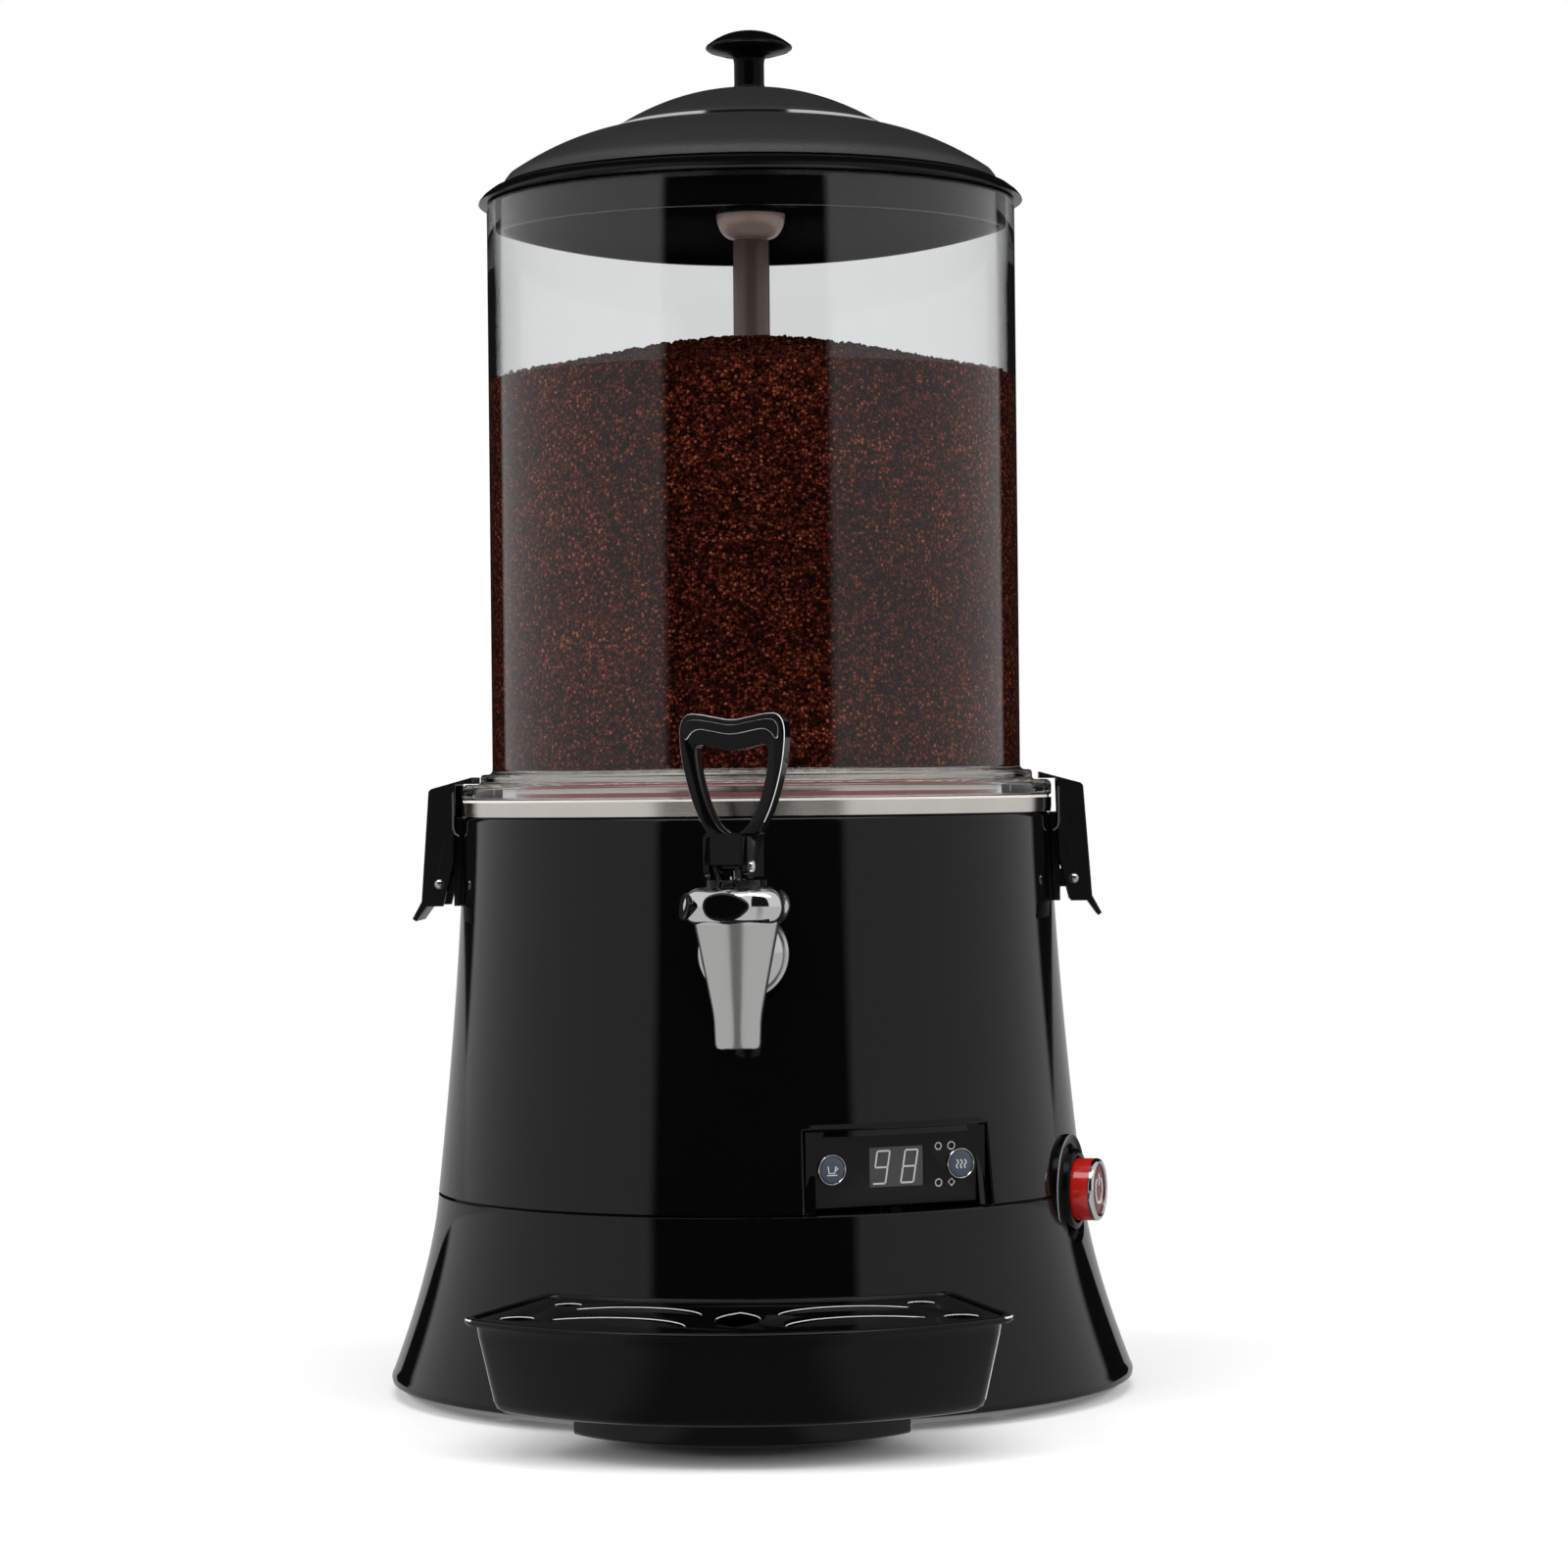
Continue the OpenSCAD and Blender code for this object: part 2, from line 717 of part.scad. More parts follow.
module agitator() color("#5d4a42") difference() {
    union() {
        rotate_extrude() polygon([
            [0, sleeve_foot_z], [sleeve_r, sleeve_foot_z], [sleeve_r, sleeve_top_z - sleeve_slope],
            [tube_r, sleeve_top_z], [tube_r, cup_top_z - cup_h], [cup_r - cup_waist,
                cup_top_z - cup_h + cup_waist_h],
            [cup_r, cup_top_z - cup_lip], [cup_r, cup_top_z], [cup_r - cup_lip, cup_top_z],
            [tube_r - tube_wall, cup_top_z - cup_well],
            [0, cup_top_z - cup_well]]);
        for (s = [0, 180])
            rotate([0, 0, s]) translate([sleeve_r - 1, -paddle_t / 2, sleeve_foot_z])
                cube([paddle_r - sleeve_r + 1, paddle_t, paddle_h]);
    }
    cylinder_up(column_r + sleeve_play, sleeve_foot_z - cut, socket_z);
    cylinder_up(hex_r + hex_play, socket_z - 2 * cut, socket_z + socket_h, $fn = 6);
    cylinder_up(tube_r - tube_wall, sleeve_top_z + tube_plug, cup_top_z + cut);
}

// Vessel

module bowl() color([0.85, 0.87, 0.88, 0.35]) rotate_extrude() polygon([
    [bowl_in, flange_z], [flange_r, flange_z], [flange_r, flange_top], 
    [bowl_r + flange_step_w + flange_step_lean, flange_top],
    [bowl_r + flange_step_w, flange_top + flange_step], [bowl_r, flange_top + flange_step], [bowl_r,
        bowl_top_z],
    [bowl_in, bowl_top_z]]);

module bowl_gasket() color("#8c3a2c") ring(flange_r - gasket_inset, bowl_in, basin_top_z, flange_z);

fill_gap = 0.4;

module granule_fill() color("#4a2214") rotate_extrude() polygon(concat(
    [[paddle_r + paddle_play, basin_floor_z + fill_gap],
     [basin_r - basin_fillet - fill_gap, basin_floor_z + fill_gap],
     [basin_r - fill_gap, basin_floor_z + basin_fillet + fill_gap],
     [basin_r - fill_gap, basin_top_z],
     [min(basin_r, bowl_in) - fill_gap, flange_z + 1],
     [bowl_in - fill_gap, flange_z + 2]],
    [for (r = span(bowl_in - fill_gap, tube_r + fill_gap, 12))
        [r, fill_side_z + fill_dome * (1 - pow(r / (bowl_in - fill_gap), 2))]],
    [[tube_r + fill_gap, sleeve_top_z + fill_gap], [sleeve_r + fill_gap, sleeve_top_z - 2],
     [sleeve_r + fill_gap, sleeve_foot_z + paddle_h + paddle_play],
     [paddle_r + paddle_play, sleeve_foot_z + paddle_h + paddle_play]]));

// Height of the lid's outer face at a radius
function upper_tier(r) = lid_top_z - upper_drop * pow(r / tier_r, 2);
function lower_tier(r) = let (start = lid_top_z - upper_drop - tier_drop, low = bowl_top_z + shoulder_rise)
    start - (start - low) * (pow(r, 3) - pow(tier_r, 3)) / (pow(shoulder_r, 3) - pow(tier_r, 3));

module lid() color("#131314") difference() {
    union() {
        rotate_extrude() polygon(concat(
            [for (r = span(0, tier_r, 10)) [r, upper_tier(r)]],
            [for (r = span(tier_r, shoulder_r, 10)) [r, lower_tier(r)]],
            quarter(bead_r - bead_round, bowl_top_z + bead_rise, bead_round, 80, 0),
            [[bead_r, bowl_top_z], [bead_r - bead_lean, lid_foot_z], [bowl_r + seat_gap, lid_foot_z],
             [bowl_r + seat_gap, bowl_top_z + seat_gap], [bowl_in - bead_lean, bowl_top_z + seat_gap],
             [inner_skirt_r, lid_foot_z - skirt_drop], [inner_skirt_r - lid_wall, lid_foot_z - skirt_drop],
             [inner_skirt_r - lid_wall, bowl_top_z + skirt_drop]],
            backwards([for (r = span(tier_r, shoulder_r - dome_in, 8)) [r, lower_tier(r) - dome_wall]]),
            backwards([for (r = span(0, tier_r - lid_wall, 8)) [r, upper_tier(r) - dome_wall]])));
        translate([0, 0, cup_top_z + 2])
            cylinder(r = boss_pipe_r, h = lid_top_z - cup_top_z - boss_stop);
        cylinder_up(knob_post_r, lid_top_z - 2, lid_top_z);
    }
    cylinder_up(screw_r + run_fit, cup_top_z, lid_top_z + cut);
}

module cylinder_up(r, z0, z1) translate([0, 0, z0]) cylinder(r = r, h = z1 - z0);

module lid_knob() color("#101011") difference() {
    rotate_extrude() polygon(concat(
        [[0, lid_top_z], [knob_stem_r + knob_foot, lid_top_z], [knob_stem_r, lid_top_z + knob_foot_h],
         [knob_stem_r, knob_top_z - knob_neck], [knob_stem_r + knob_flare, knob_top_z - knob_flare_h],
         [knob_r - knob_edge, knob_top_z - knob_under]],
        [for (a = span(-60, 60, 6)) [knob_r - knob_lip * (1 - cos(a)),
            knob_top_z - knob_lip_h + knob_lip * sin(a)]],
        [for (r = span(knob_r - knob_edge, 0, 6)) [r,
            knob_top_z - knob_crown * pow(r / (knob_r - knob_edge), 2)]]));
    cylinder_up(screw_r + run_fit, lid_top_z - cut, lid_top_z + knob_bore);
}

module knob_screw() color("#8d8f91") {
    cylinder_up(screw_r, knob_screw_z, lid_top_z + knob_bore - screw_end);
    cylinder_up(screw_head_r, knob_screw_z - knob_screw_head, knob_screw_z);
}

// Latches, drawn at the front and turned to each side

// A side outline (distance from the axis, height) swept across its width
module swept_outline(points, width) {
    rotate([90, 0, -90])
        translate([0, 0, -width / 2]) linear_extrude(width) polygon(points);
}

module latch_lever() {
    low_z = latch_pin_z - latch_tail;
    difference() {
        swept_outline([
            [latch_hook_in, flange_top + seat_gap], [latch_hook_in, flange_top + latch_hook_t],
            [flange_r + latch_skin_out - latch_edge, flange_top - latch_fall],
            [flange_r + latch_skin_out, flange_top - latch_fall - latch_edge],
            [flange_r + latch_skin_low, low_z + lip_bend], [flange_r + latch_lip_out, low_z - lip_drop],
            [flange_r + latch_lip_out - lip_t, low_z - lip_drop - latch_edge],
            [flange_r + latch_skin_low - lip_bend, low_z],
            [latch_pin_r_pos - lip_t, low_z], [flange_r + latch_clear_low, latch_pin_z + latch_tail],
            [flange_r + latch_clear, flange_top - latch_clear_h],
            [flange_r + latch_clear, flange_top + seat_gap]], latch_w);
        swept_outline([
            [flange_r, flange_top + seat_gap], [flange_r + lip_bend, flange_top + seat_gap - latch_fall / 3],
            [flange_r + latch_skin_out - latch_wall - latch_lean, flange_top - latch_fall - latch_wall],
            [flange_r + latch_skin_low - latch_wall, low_z + lip_bend],
            [flange_r + latch_skin_low - latch_wall, low_z - lip_drop - short_tool],
            [flange_r, low_z - lip_drop - short_tool]], latch_w - 2 * latch_wall);
        translate([-latch_w, -latch_pin_r_pos, latch_pin_z]) rotate([0, 90, 0])
            cylinder(r = latch_pin_r + run_fit, h = 2 * latch_w);
    }
}

module at_sides() for (s = [-90, 90]) rotate([0, 0, s]) children();

module latch_brackets() color("#161617") at_sides() difference() {
    union() {
        translate([-ear_x - ear_t, -housing_r(latch_pin_z) - bracket_skin, latch_pin_z - bracket_low])
            cube([2 * (ear_x + ear_t), 4 * bracket_skin, bracket_h]);
        for (s = [-1, 1]) translate([s * (ear_x + ear_t / 2) - ear_t / 2, 0, 0]) {
            translate([0, -latch_pin_r_pos, latch_pin_z]) rotate([0, 90, 0]) cylinder(r = ear_r, h = ear_t);
            translate([0, -latch_pin_r_pos, latch_pin_z - ear_r]) cube([ear_t, ear_root, 2 * ear_r]);
        }
    }
    housing_core(run_fit, $fn = fine_fn);
    translate([-latch_w, -latch_pin_r_pos, latch_pin_z]) rotate([0, 90, 0])
        cylinder(r = latch_pin_r + run_fit, h = 2 * latch_w);
}

module latch_pins() color("#9fa1a3") at_sides()
    translate([-latch_w / 2, -latch_pin_r_pos, latch_pin_z]) rotate([0, 90, 0])
        cylinder(r = latch_pin_r, h = latch_w);

module latch_left() color("#121213") rotate([0, 0, -90]) latch_lever();
module latch_right() color("#121213") rotate([0, 0, 90]) latch_lever();

// Controls

module at_lamps() for (x = lamp_x, y = [-lamp_y, lamp_y]) translate([x, y, 0]) children();

window_ledge = 1;

module panel_holes() {
    for (s = [-1, 1]) translate([s * key_x, 0, -short_tool]) cylinder(r = key_r + key_play,
        h = 2 * short_tool);
}

module control_panel() color("#161719") at_panel() difference() {
    block(panel_w, panel_h, -panel_t, 0);
    panel_holes();
    block(window_w + 2 * run_fit, window_h + 2 * run_fit, -window_t, cut);
    block(window_w - 2 * window_ledge, window_h - 2 * window_ledge, -panel_t - cut, cut);
    at_lamps() cylinder_up(lamp_r + run_fit, -lamp_t, cut);
}

module display_window() color([0.45, 0.47, 0.5, 0.7]) at_panel() block(window_w, window_h, -window_t, 0);

module display_module() color("#3b3e42") at_panel()
    block(window_w - module_inset, window_h - module_inset, board_z + board_t, digit_z);

// Which of the seven bars are lit in each of the two figures
digit_bars = [[1, 1, 1, 1, 0, 1, 1], [1, 1, 1, 1, 1, 1, 1]];

module display_digits() color("#d9dde0") at_panel()
    for (d = [0, 1]) translate([(d - 0.5) * (digit_w + digit_space), 0, digit_z]) {
        half_w = digit_w / 2;
        half_h = digit_h / 2;
        for (k = [-1:1])
            if (digit_bars[d][k + 1] == 1)
                translate([-half_w + digit_line, k * (half_h - digit_line / 2) - digit_line / 2, 0])
                    cube([digit_w - 2 * digit_line, digit_line, digit_t]);
        for (x = [0, 1], y = [0, 1])
            if (digit_bars[d][3 + x + 2 * y] == 1)
                translate([x == 0 ? -half_w : half_w - digit_line,
                           y == 0 ? -half_h + digit_line : digit_line / 2, 0])
                    cube([digit_line, half_h - 1.5 * digit_line, digit_t]);
    }

module indicator_lights() color("#8f959c") at_panel()
    at_lamps() cylinder_up(lamp_r, -lamp_t, lamp_proud);

module panel_key(s) at_panel() translate([s * key_x, 0, 0]) {
    translate([0, 0, key_foot_z])
        cylinder(r = key_r, h = key_proud - (key_foot_z));
}

module panel_button_left() color("#39414b") panel_key(-1);
module panel_button_right() color("#39414b") panel_key(1);

module button_rings() color("#b4b7ba") at_panel()
    for (s = [-1, 1]) translate([s * key_x, 0, 0]) ring(key_r + key_ring_w, key_r + key_ring_play, 0,
        key_ring_t);

module control_board() color("#1f5a38") at_panel() {
    block(panel_w - board_inset, panel_h - board_inset, board_z, board_z + board_t);
    for (s = [-1, 1]) translate([s * key_x, 0, 0])
        block(tact_w, tact_w, board_z, board_z + board_t + tact_h);
    translate([chip_x, 0, 0]) block(chip_w, chip_h, board_z - chip_t, board_z + chip_sink);
}

module board_standoffs() color("#b29a55") at_panel()
    for (x = [-1, 1], y = [-1, 1])
        translate([x * (panel_w / 2 - standoff_in), y * (panel_h / 2 - standoff_in), board_z + board_t])
            cylinder(r = standoff_r, h = -panel_t - board_z - board_t);

module switch_collar() color("#151516") at_switch() difference() {
    union() {
        translate([0, 0, -collar_depth]) cylinder(r = collar_r, h = collar_depth);
        cylinder(r = collar_ring_r, h = collar_ring_h);
    }
    difference() {
        translate([0, 0, -collar_dish]) cylinder(r = collar_r - collar_rim, h = collar_dish + cut);
        translate([0, 0, -collar_dish - cut]) cylinder(r = collar_ring_r, h = 3 * collar_dish);
    }
    translate([0, 0, -collar_depth - cut]) cylinder(r = power_r + power_play, h = long_tool);
}

module switch_body() color("#2a2c2f") at_switch() {
    translate([0, 0, -collar_depth - switch_len]) cylinder(r = power_r + switch_wall, h = switch_len);
    translate([0, 0, -collar_depth - switch_len - tab_len]) block(tab_w, tab_t, 0, tab_len + chip_sink);
}

module power_button() color("#c01818") at_switch()
    rotate_extrude() polygon([
        [0, power_foot], [power_r, power_foot],
        [power_r, power_proud - power_edge], [power_r - power_edge, power_proud],
        [power_r - power_rim, power_proud],
        [power_r - power_rim - power_lean, power_proud - power_sink], [0, power_proud - power_sink]]);

// Tap

shank_end = basin_r + shank_set;
locknut_face = housing_r(tap_z) - shell_wall - locknut_gap;
locknut_t = 5;
locknut_wall = 5;
washer_depth = 6;
escutcheon_round = 3;
washer_t = 2;
washer_r = 15;
escutcheon_r = 17.4;
escutcheon_t = 4.5;
washer_face = housing_r(tap_z) + washer_t;

module shank_ring(outer, reach, depth, sides = 96) difference() {
    facing(0, reach, tap_z) cylinder(r = outer, h = depth, $fn = sides);
    facing(0, reach - cut, tap_z) cylinder(r = shank_r + run_fit, h = depth + 2 * cut);
}

module tap_shank() color("#c3c6c8") difference() {
    facing(0, shank_end, tap_z) cylinder(r = shank_r, h = tap_boss_back + shank_socket - shank_end);
    facing(0, shank_end - cut, tap_z) cylinder(r = water_way_r, h = 2 * long_tool);
}

module tap_locknut() color("#a7aaac") shank_ring(shank_r + locknut_wall, locknut_face - locknut_t,
    locknut_t, 6);

module tap_gasket() color("#2b2b2b") difference() {
    shank_ring(washer_r, washer_face - washer_depth, washer_depth);
    housing_core(run_fit, $fn = fine_fn);
}

module tap_escutcheon() color("#cfd2d4") difference() {
    facing(0, washer_face, tap_z) rotate_extrude() polygon(concat(
        [[0, 0], [escutcheon_r, 0]], quarter(escutcheon_r - escutcheon_round,
            escutcheon_t - escutcheon_round, escutcheon_round, 0, 90),
        [[0, escutcheon_t]]));
    facing(0, washer_face - cut, tap_z) cylinder(r = shank_r + run_fit, h = short_tool);
}

module at_spout() translate([0, -tap_reach, 0]) children();

// The bonnet and handle are drawn facing the front, then turned about the stem
module turned() at_spout() rotate([0, 0, -handle_turn]) translate([0, tap_reach, 0]) children();

// A pointed oval pad set into the head
module inlay_pad(angle, grow) {
    arc = (inlay_w * inlay_w + inlay_h * inlay_h) / (4 * inlay_h);
    at_spout() rotate([0, 0, angle]) translate([0, -inlay_reach + 1, inlay_z]) rotate([65, 0, 0])
        intersection() {
            translate([0, arc - inlay_h / 2, 0]) cylinder_up(arc + grow, -inlay_sink, inlay_t + grow);
            translate([0, inlay_h / 2 - arc, 0])
                cylinder_up(arc + grow, -inlay_sink - grow, inlay_t + inlay_sink + grow);
        }
}

module tap_body() color("#c8cacc") difference() {
    union() {
        at_spout() rotate_extrude() polygon([
            [0, spout_mouth_z], [spout_tip_r, spout_mouth_z], [spout_tip_r, spout_mouth_z + tip_len],
            [cone_top_r, cone_top_z], [head_r, head_top_z - 2 * head_round],
            [head_r, head_top_z - head_round], [head_r - head_round, head_top_z],
            [0, head_top_z]]);
        facing(0, tap_boss_back, tap_z) cylinder(r = tap_boss_r, h = tap_reach - tap_boss_back);
    }
    at_spout() {
        cylinder_up(mouth_r, spout_mouth_z - cut, head_top_z);
        cylinder_up(chamber_r, chamber_z, head_top_z + cut);
    }
    facing(0, tap_boss_back - cut, tap_z) cylinder(r = shank_r + run_fit, h = shank_socket + cut);
    facing(0, tap_boss_back - cut, tap_z) cylinder(r = water_way_r, h = tap_reach - tap_boss_back + cut);
    for (a = inlay_angles) inlay_pad(a, run_fit);
}

module tap_inlays() color("#0a0a0a") for (a = inlay_angles) inlay_pad(a, 0);

ear_span = stem_r + ear_play;
tap_ear_t = 2.4;
tap_ear_r = 3.2;
ear_sink = 0.5;

module tap_bonnet() color("#121212") turned() difference() {
    union() {
        at_spout() cylinder_up(head_r - bonnet_inset, head_top_z, head_top_z + bonnet_t);
        for (s = [-1, 1]) translate([s * (ear_span + tap_ear_t / 2) - tap_ear_t / 2, 0, 0]) {
            translate([0, -pivot_y, pivot_z]) rotate([0, 90, 0]) cylinder(r = tap_ear_r, h = tap_ear_t);
            translate([0, -pivot_y - tap_ear_r, head_top_z + bonnet_t - ear_sink])
                cube([tap_ear_t, 2 * tap_ear_r, pivot_z - head_top_z - bonnet_t + ear_sink]);
        }
    }
    at_spout() cylinder_up(stem_r + run_fit, head_top_z - cut, head_top_z + bonnet_t + cut);
    translate([-long_tool / 2, -pivot_y, pivot_z]) rotate([0, 90, 0])
        cylinder(r = pivot_pin_r + run_fit, h = long_tool);
}

stem_seat = 2;
stem_tip = 2;

module tap_stem() color("#d0d2d4") at_spout() {
    cylinder_up(stem_r, chamber_z + seal_gap + cup_seal_h - stem_seat, stem_head_z + stem_tip);
    cylinder_up(stem_r + stem_head_w, stem_head_z, stem_head_z + stem_head_t);
}

module seat_cup() color("#d9d4c8") at_spout() difference() {
    cylinder_up(chamber_r - seal_play, chamber_z + seal_gap, chamber_z + seal_gap + cup_seal_h);
    cylinder_up(stem_r + run_fit, chamber_z + seal_gap + cup_seal_h - stem_seat, chamber_z + 2 * cup_seal_h);
}

// Closing spring of the tap: one unbroken round wire along a helix
wire_sides = 6;
rings_per_turn = 8;
spring_rings = spring_turns * rings_per_turn;
function coil_point(i, a) = let (
        turn = 360 * i / rings_per_turn,
        r = spring_coil_r + spring_wire_r * cos(a))
    [r * cos(turn), r * sin(turn),
     spring_foot_z + (spring_top_z - spring_foot_z) * i / spring_rings + spring_wire_r * sin(a)];
coil_points = [for (i = [0:spring_rings], k = [0:wire_sides - 1]) coil_point(i, 360 * k / wire_sides)];
coil_faces = concat(
    [for (k = [1:wire_sides - 2]) [0, k, k + 1]],
    [for (i = [0:spring_rings - 1], k = [0:wire_sides - 1])
        let (n = (k + 1) % wire_sides, b = i * wire_sides)
        each [[b + k, b + wire_sides + k, b + wire_sides + n], [b + k, b + wire_sides + n, b + n]]],
    [for (k = [1:wire_sides - 2]) let (b = spring_rings * wire_sides) [b, b + k + 1, b + k]]);
coil_gap = min([for (i = [0:spring_rings - rings_per_turn], k = [0:wire_sides - 1], n = [0:wire_sides - 1])
    norm(coil_points[i * wire_sides + k] - coil_points[(i + rings_per_turn) * wire_sides + n])]);
echo(tap_spring_least_gap = coil_gap);

module tap_spring() color("#b7babc") at_spout() polyhedron(coil_points, coil_faces, convexity = 6);

// Outline of the handle loop, seen from the front, with a dip in its top
loop_corner_r = 9;
loop_foot_in = 5;
loop_foot_r = 6;
loop_dip_r = 12;
loop_dip_rise = 9.5;
neck_lap = 2;
bar_lap = 0.5;
bar_w = 2.4;
bar_h = 2.3;
bar_drop = 3;
fork_play = 0.7;

module loop_outline(inset) {
    difference() {
        hull() {
            for (s = [-1, 1])
                translate([s * (loop_half_w - loop_corner_r), loop_h - loop_corner_r])
                    circle(r = loop_corner_r - inset, $fn = 32);
            for (s = [-1, 1]) translate([s * loop_foot_in, loop_foot_in])
                circle(r = loop_foot_r - min(inset, loop_foot_in), $fn = 32);
        }
        translate([0, loop_h + loop_dip_rise]) circle(r = loop_dip_r + inset, $fn = 48);
    }
}

module tap_handle() color("#0d0d0e") turned() difference() {
    union() {
        translate([0, -tap_reach + loop_t / 2, loop_z]) rotate([90, 0, 0]) linear_extrude(loop_t)
            difference() {
                loop_outline(0);
                difference() {
                    loop_outline(loop_band);
                    translate([-loop_half_w, -cut]) square([2 * loop_half_w, loop_band + cut]);
                }
                translate([-slot_half_w, -2 * cut])
                    square([2 * slot_half_w, slot_top_z - loop_z + 2 * cut]);
            }
        difference() {
            union() {
                translate([-cheek_half_w, -pivot_y - pivot_cheek_r, pivot_z])
                    cube([2 * cheek_half_w, neck_depth, loop_z + neck_lap - pivot_z]);
                translate([-cheek_half_w, -pivot_y, cheek_foot_z])
                    cube([2 * cheek_half_w, neck_depth - pivot_cheek_r, pivot_z + cut - cheek_foot_z]);
                translate([-cheek_half_w, -pivot_y, pivot_z]) rotate([0, 90, 0])
                    cylinder(r = pivot_cheek_r, h = 2 * cheek_half_w);
            }
            translate([-slot_half_w, -tap_reach - neck_depth, head_top_z])
                cube([2 * slot_half_w, 2 * neck_depth, slot_top_z - head_top_z]);
        }
        translate([-slot_half_w - bar_lap, -pivot_y + lift_arm - bar_w / 2, stem_head_z - bar_drop])
            difference() {
                cube([2 * (slot_half_w + bar_lap), bar_w, bar_h]);
                translate([slot_half_w + bar_lap - stem_r - fork_play, -cut, -cut])
                    cube([2 * (stem_r + fork_play), bar_w + 2 * cut, bar_h + 2 * cut]);
            }
    }
    translate([-long_tool / 2, -pivot_y, pivot_z]) rotate([0, 90, 0])
        cylinder(r = pivot_pin_r + run_fit, h = long_tool);
}

module handle_pin() color("#c5c7c9") turned()
    translate([-cheek_half_w, -pivot_y, pivot_z]) rotate([0, 90, 0])
        cylinder(r = pivot_pin_r, h = 2 * cheek_half_w);

// Drip tray

tray_side_run = sqrt(1 + pow((tray_half_w - tray_back_x) / (tray_tip_y - tray_back_y), 2));

// Plan of the tray, drawn in by an inset all round
module tray_plan(inset) {
    side = inset * tray_side_run;
    intersection() {
        translate([0, -tray_arc_y]) circle(r = tray_arc_r - inset, $fn = 128);
        polygon([
            [-tray_half_w + side, -tray_front - cut], [tray_half_w - side, -tray_front - cut],
            [tray_half_w - side, -tray_tip_y], [tray_back_x - side, -tray_back_y],
            [-tray_back_x + side, -tray_back_y], [-tray_half_w + side, -tray_tip_y]]);
    }
}

module tray_slab(inset, z, h) translate([0, 0, z]) linear_extrude(h) tray_plan(inset);

module tray_bulk(inset, z0, z1) hull() {
    tray_slab(tray_rim_out + tray_taper + inset, z0, skin_t);
    tray_slab(tray_rim_out + inset, z1 - skin_t, skin_t);
}

grate_seat_z = tray_rim_z - grate_t;

module drip_tray() color("#0e0e0f") difference() {
    union() {
        tray_bulk(0, tray_floor_z, tray_rim_z);
        tray_slab(0, tray_rim_z - tray_rim_t, tray_rim_t);
    }
    difference() {
        tray_bulk(tray_wall, tray_floor_z + tray_wall, tray_rim_z - grate_t + 0.05);
        skirt_core(tray_gap + tray_wall);
        tray_slab(0, grate_seat_z, long_tool);
    }
    difference() {
        tray_slab(tray_rim_out, grate_seat_z, long_tool);
        skirt_core(tray_gap + tray_wall);
    }
    skirt_core(tray_gap);
}

module arc_slot(row) translate([0, -tray_arc_y, grate_seat_z - cut])
    rotate([0, 0, -90 + row[1]]) rotate_extrude(angle = row[2] - row[1])
        translate([row[0] - slot_w / 2, 0]) square([slot_w, grate_t + 2 * cut]);

module oval_hole(x, y, r) translate([x, -y, grate_seat_z - cut]) cylinder(r = r, h = grate_t + 2 * cut);

end_hole = [81, 188, 6];
back_hole = [66, 146, 5];
lens_y = 184;
lens_half_w = 8;
lens_half_l = 23;
lens_r = (lens_half_w * lens_half_w + lens_half_l * lens_half_l) / (2 * lens_half_w);

module drip_grate() color("#0e0e0f") difference() {
    tray_slab(tray_rim_out + seat_gap, grate_seat_z, grate_t);
    skirt_core(tray_gap + tray_wall + seat_gap);
    for (s = [0, 1]) mirror([s, 0, 0]) {
        for (row = slot_rows) arc_slot(row);
        oval_hole(end_hole[0], end_hole[1], end_hole[2]);
        oval_hole(back_hole[0], back_hole[1], back_hole[2]);
    }
    intersection() {
        oval_hole(lens_r - lens_half_w, lens_y, lens_r);
        oval_hole(lens_half_w - lens_r, lens_y, lens_r);
    }
}

base_plate();
rubber_feet();
base_screws();
base_skirt();
upper_housing();
tray_shelf();
cord_gland();
steel_basin();
bath_jacket();
heater_element();
temperature_probe();
column_nut();
support_pillars();
jacket_spacers();
motor_bracket();
gear_motor();
motor_screws();
drive_shaft();
shaft_bushes();
agitator();
bowl();
bowl_gasket();
granule_fill();
lid();
lid_knob();
knob_screw();
latch_brackets();
latch_pins();
latch_left();
latch_right();
control_panel();
display_window();
display_module();
display_digits();
indicator_lights();
panel_button_left();
panel_button_right();
button_rings();
control_board();
board_standoffs();
switch_collar();
switch_body();
power_button();
tap_shank();
tap_locknut();
tap_gasket();
tap_escutcheon();
tap_body();
tap_inlays();
tap_bonnet();
tap_stem();
seat_cup();
tap_spring();
tap_handle();
handle_pin();
drip_tray();
drip_grate();
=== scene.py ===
# %% [markdown]
# # Dressing a hot chocolate dispenser
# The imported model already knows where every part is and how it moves. This lesson gives the parts that
# show a finer shape and a finish: glossy shells, a clear bowl full of grounds, a chrome tap and a tray.
# Every length is in metres, z is up and the front of the machine looks along minus y.

# %% Load the frame
import json
import math
import random

import bpy
from mathutils import Matrix, Vector


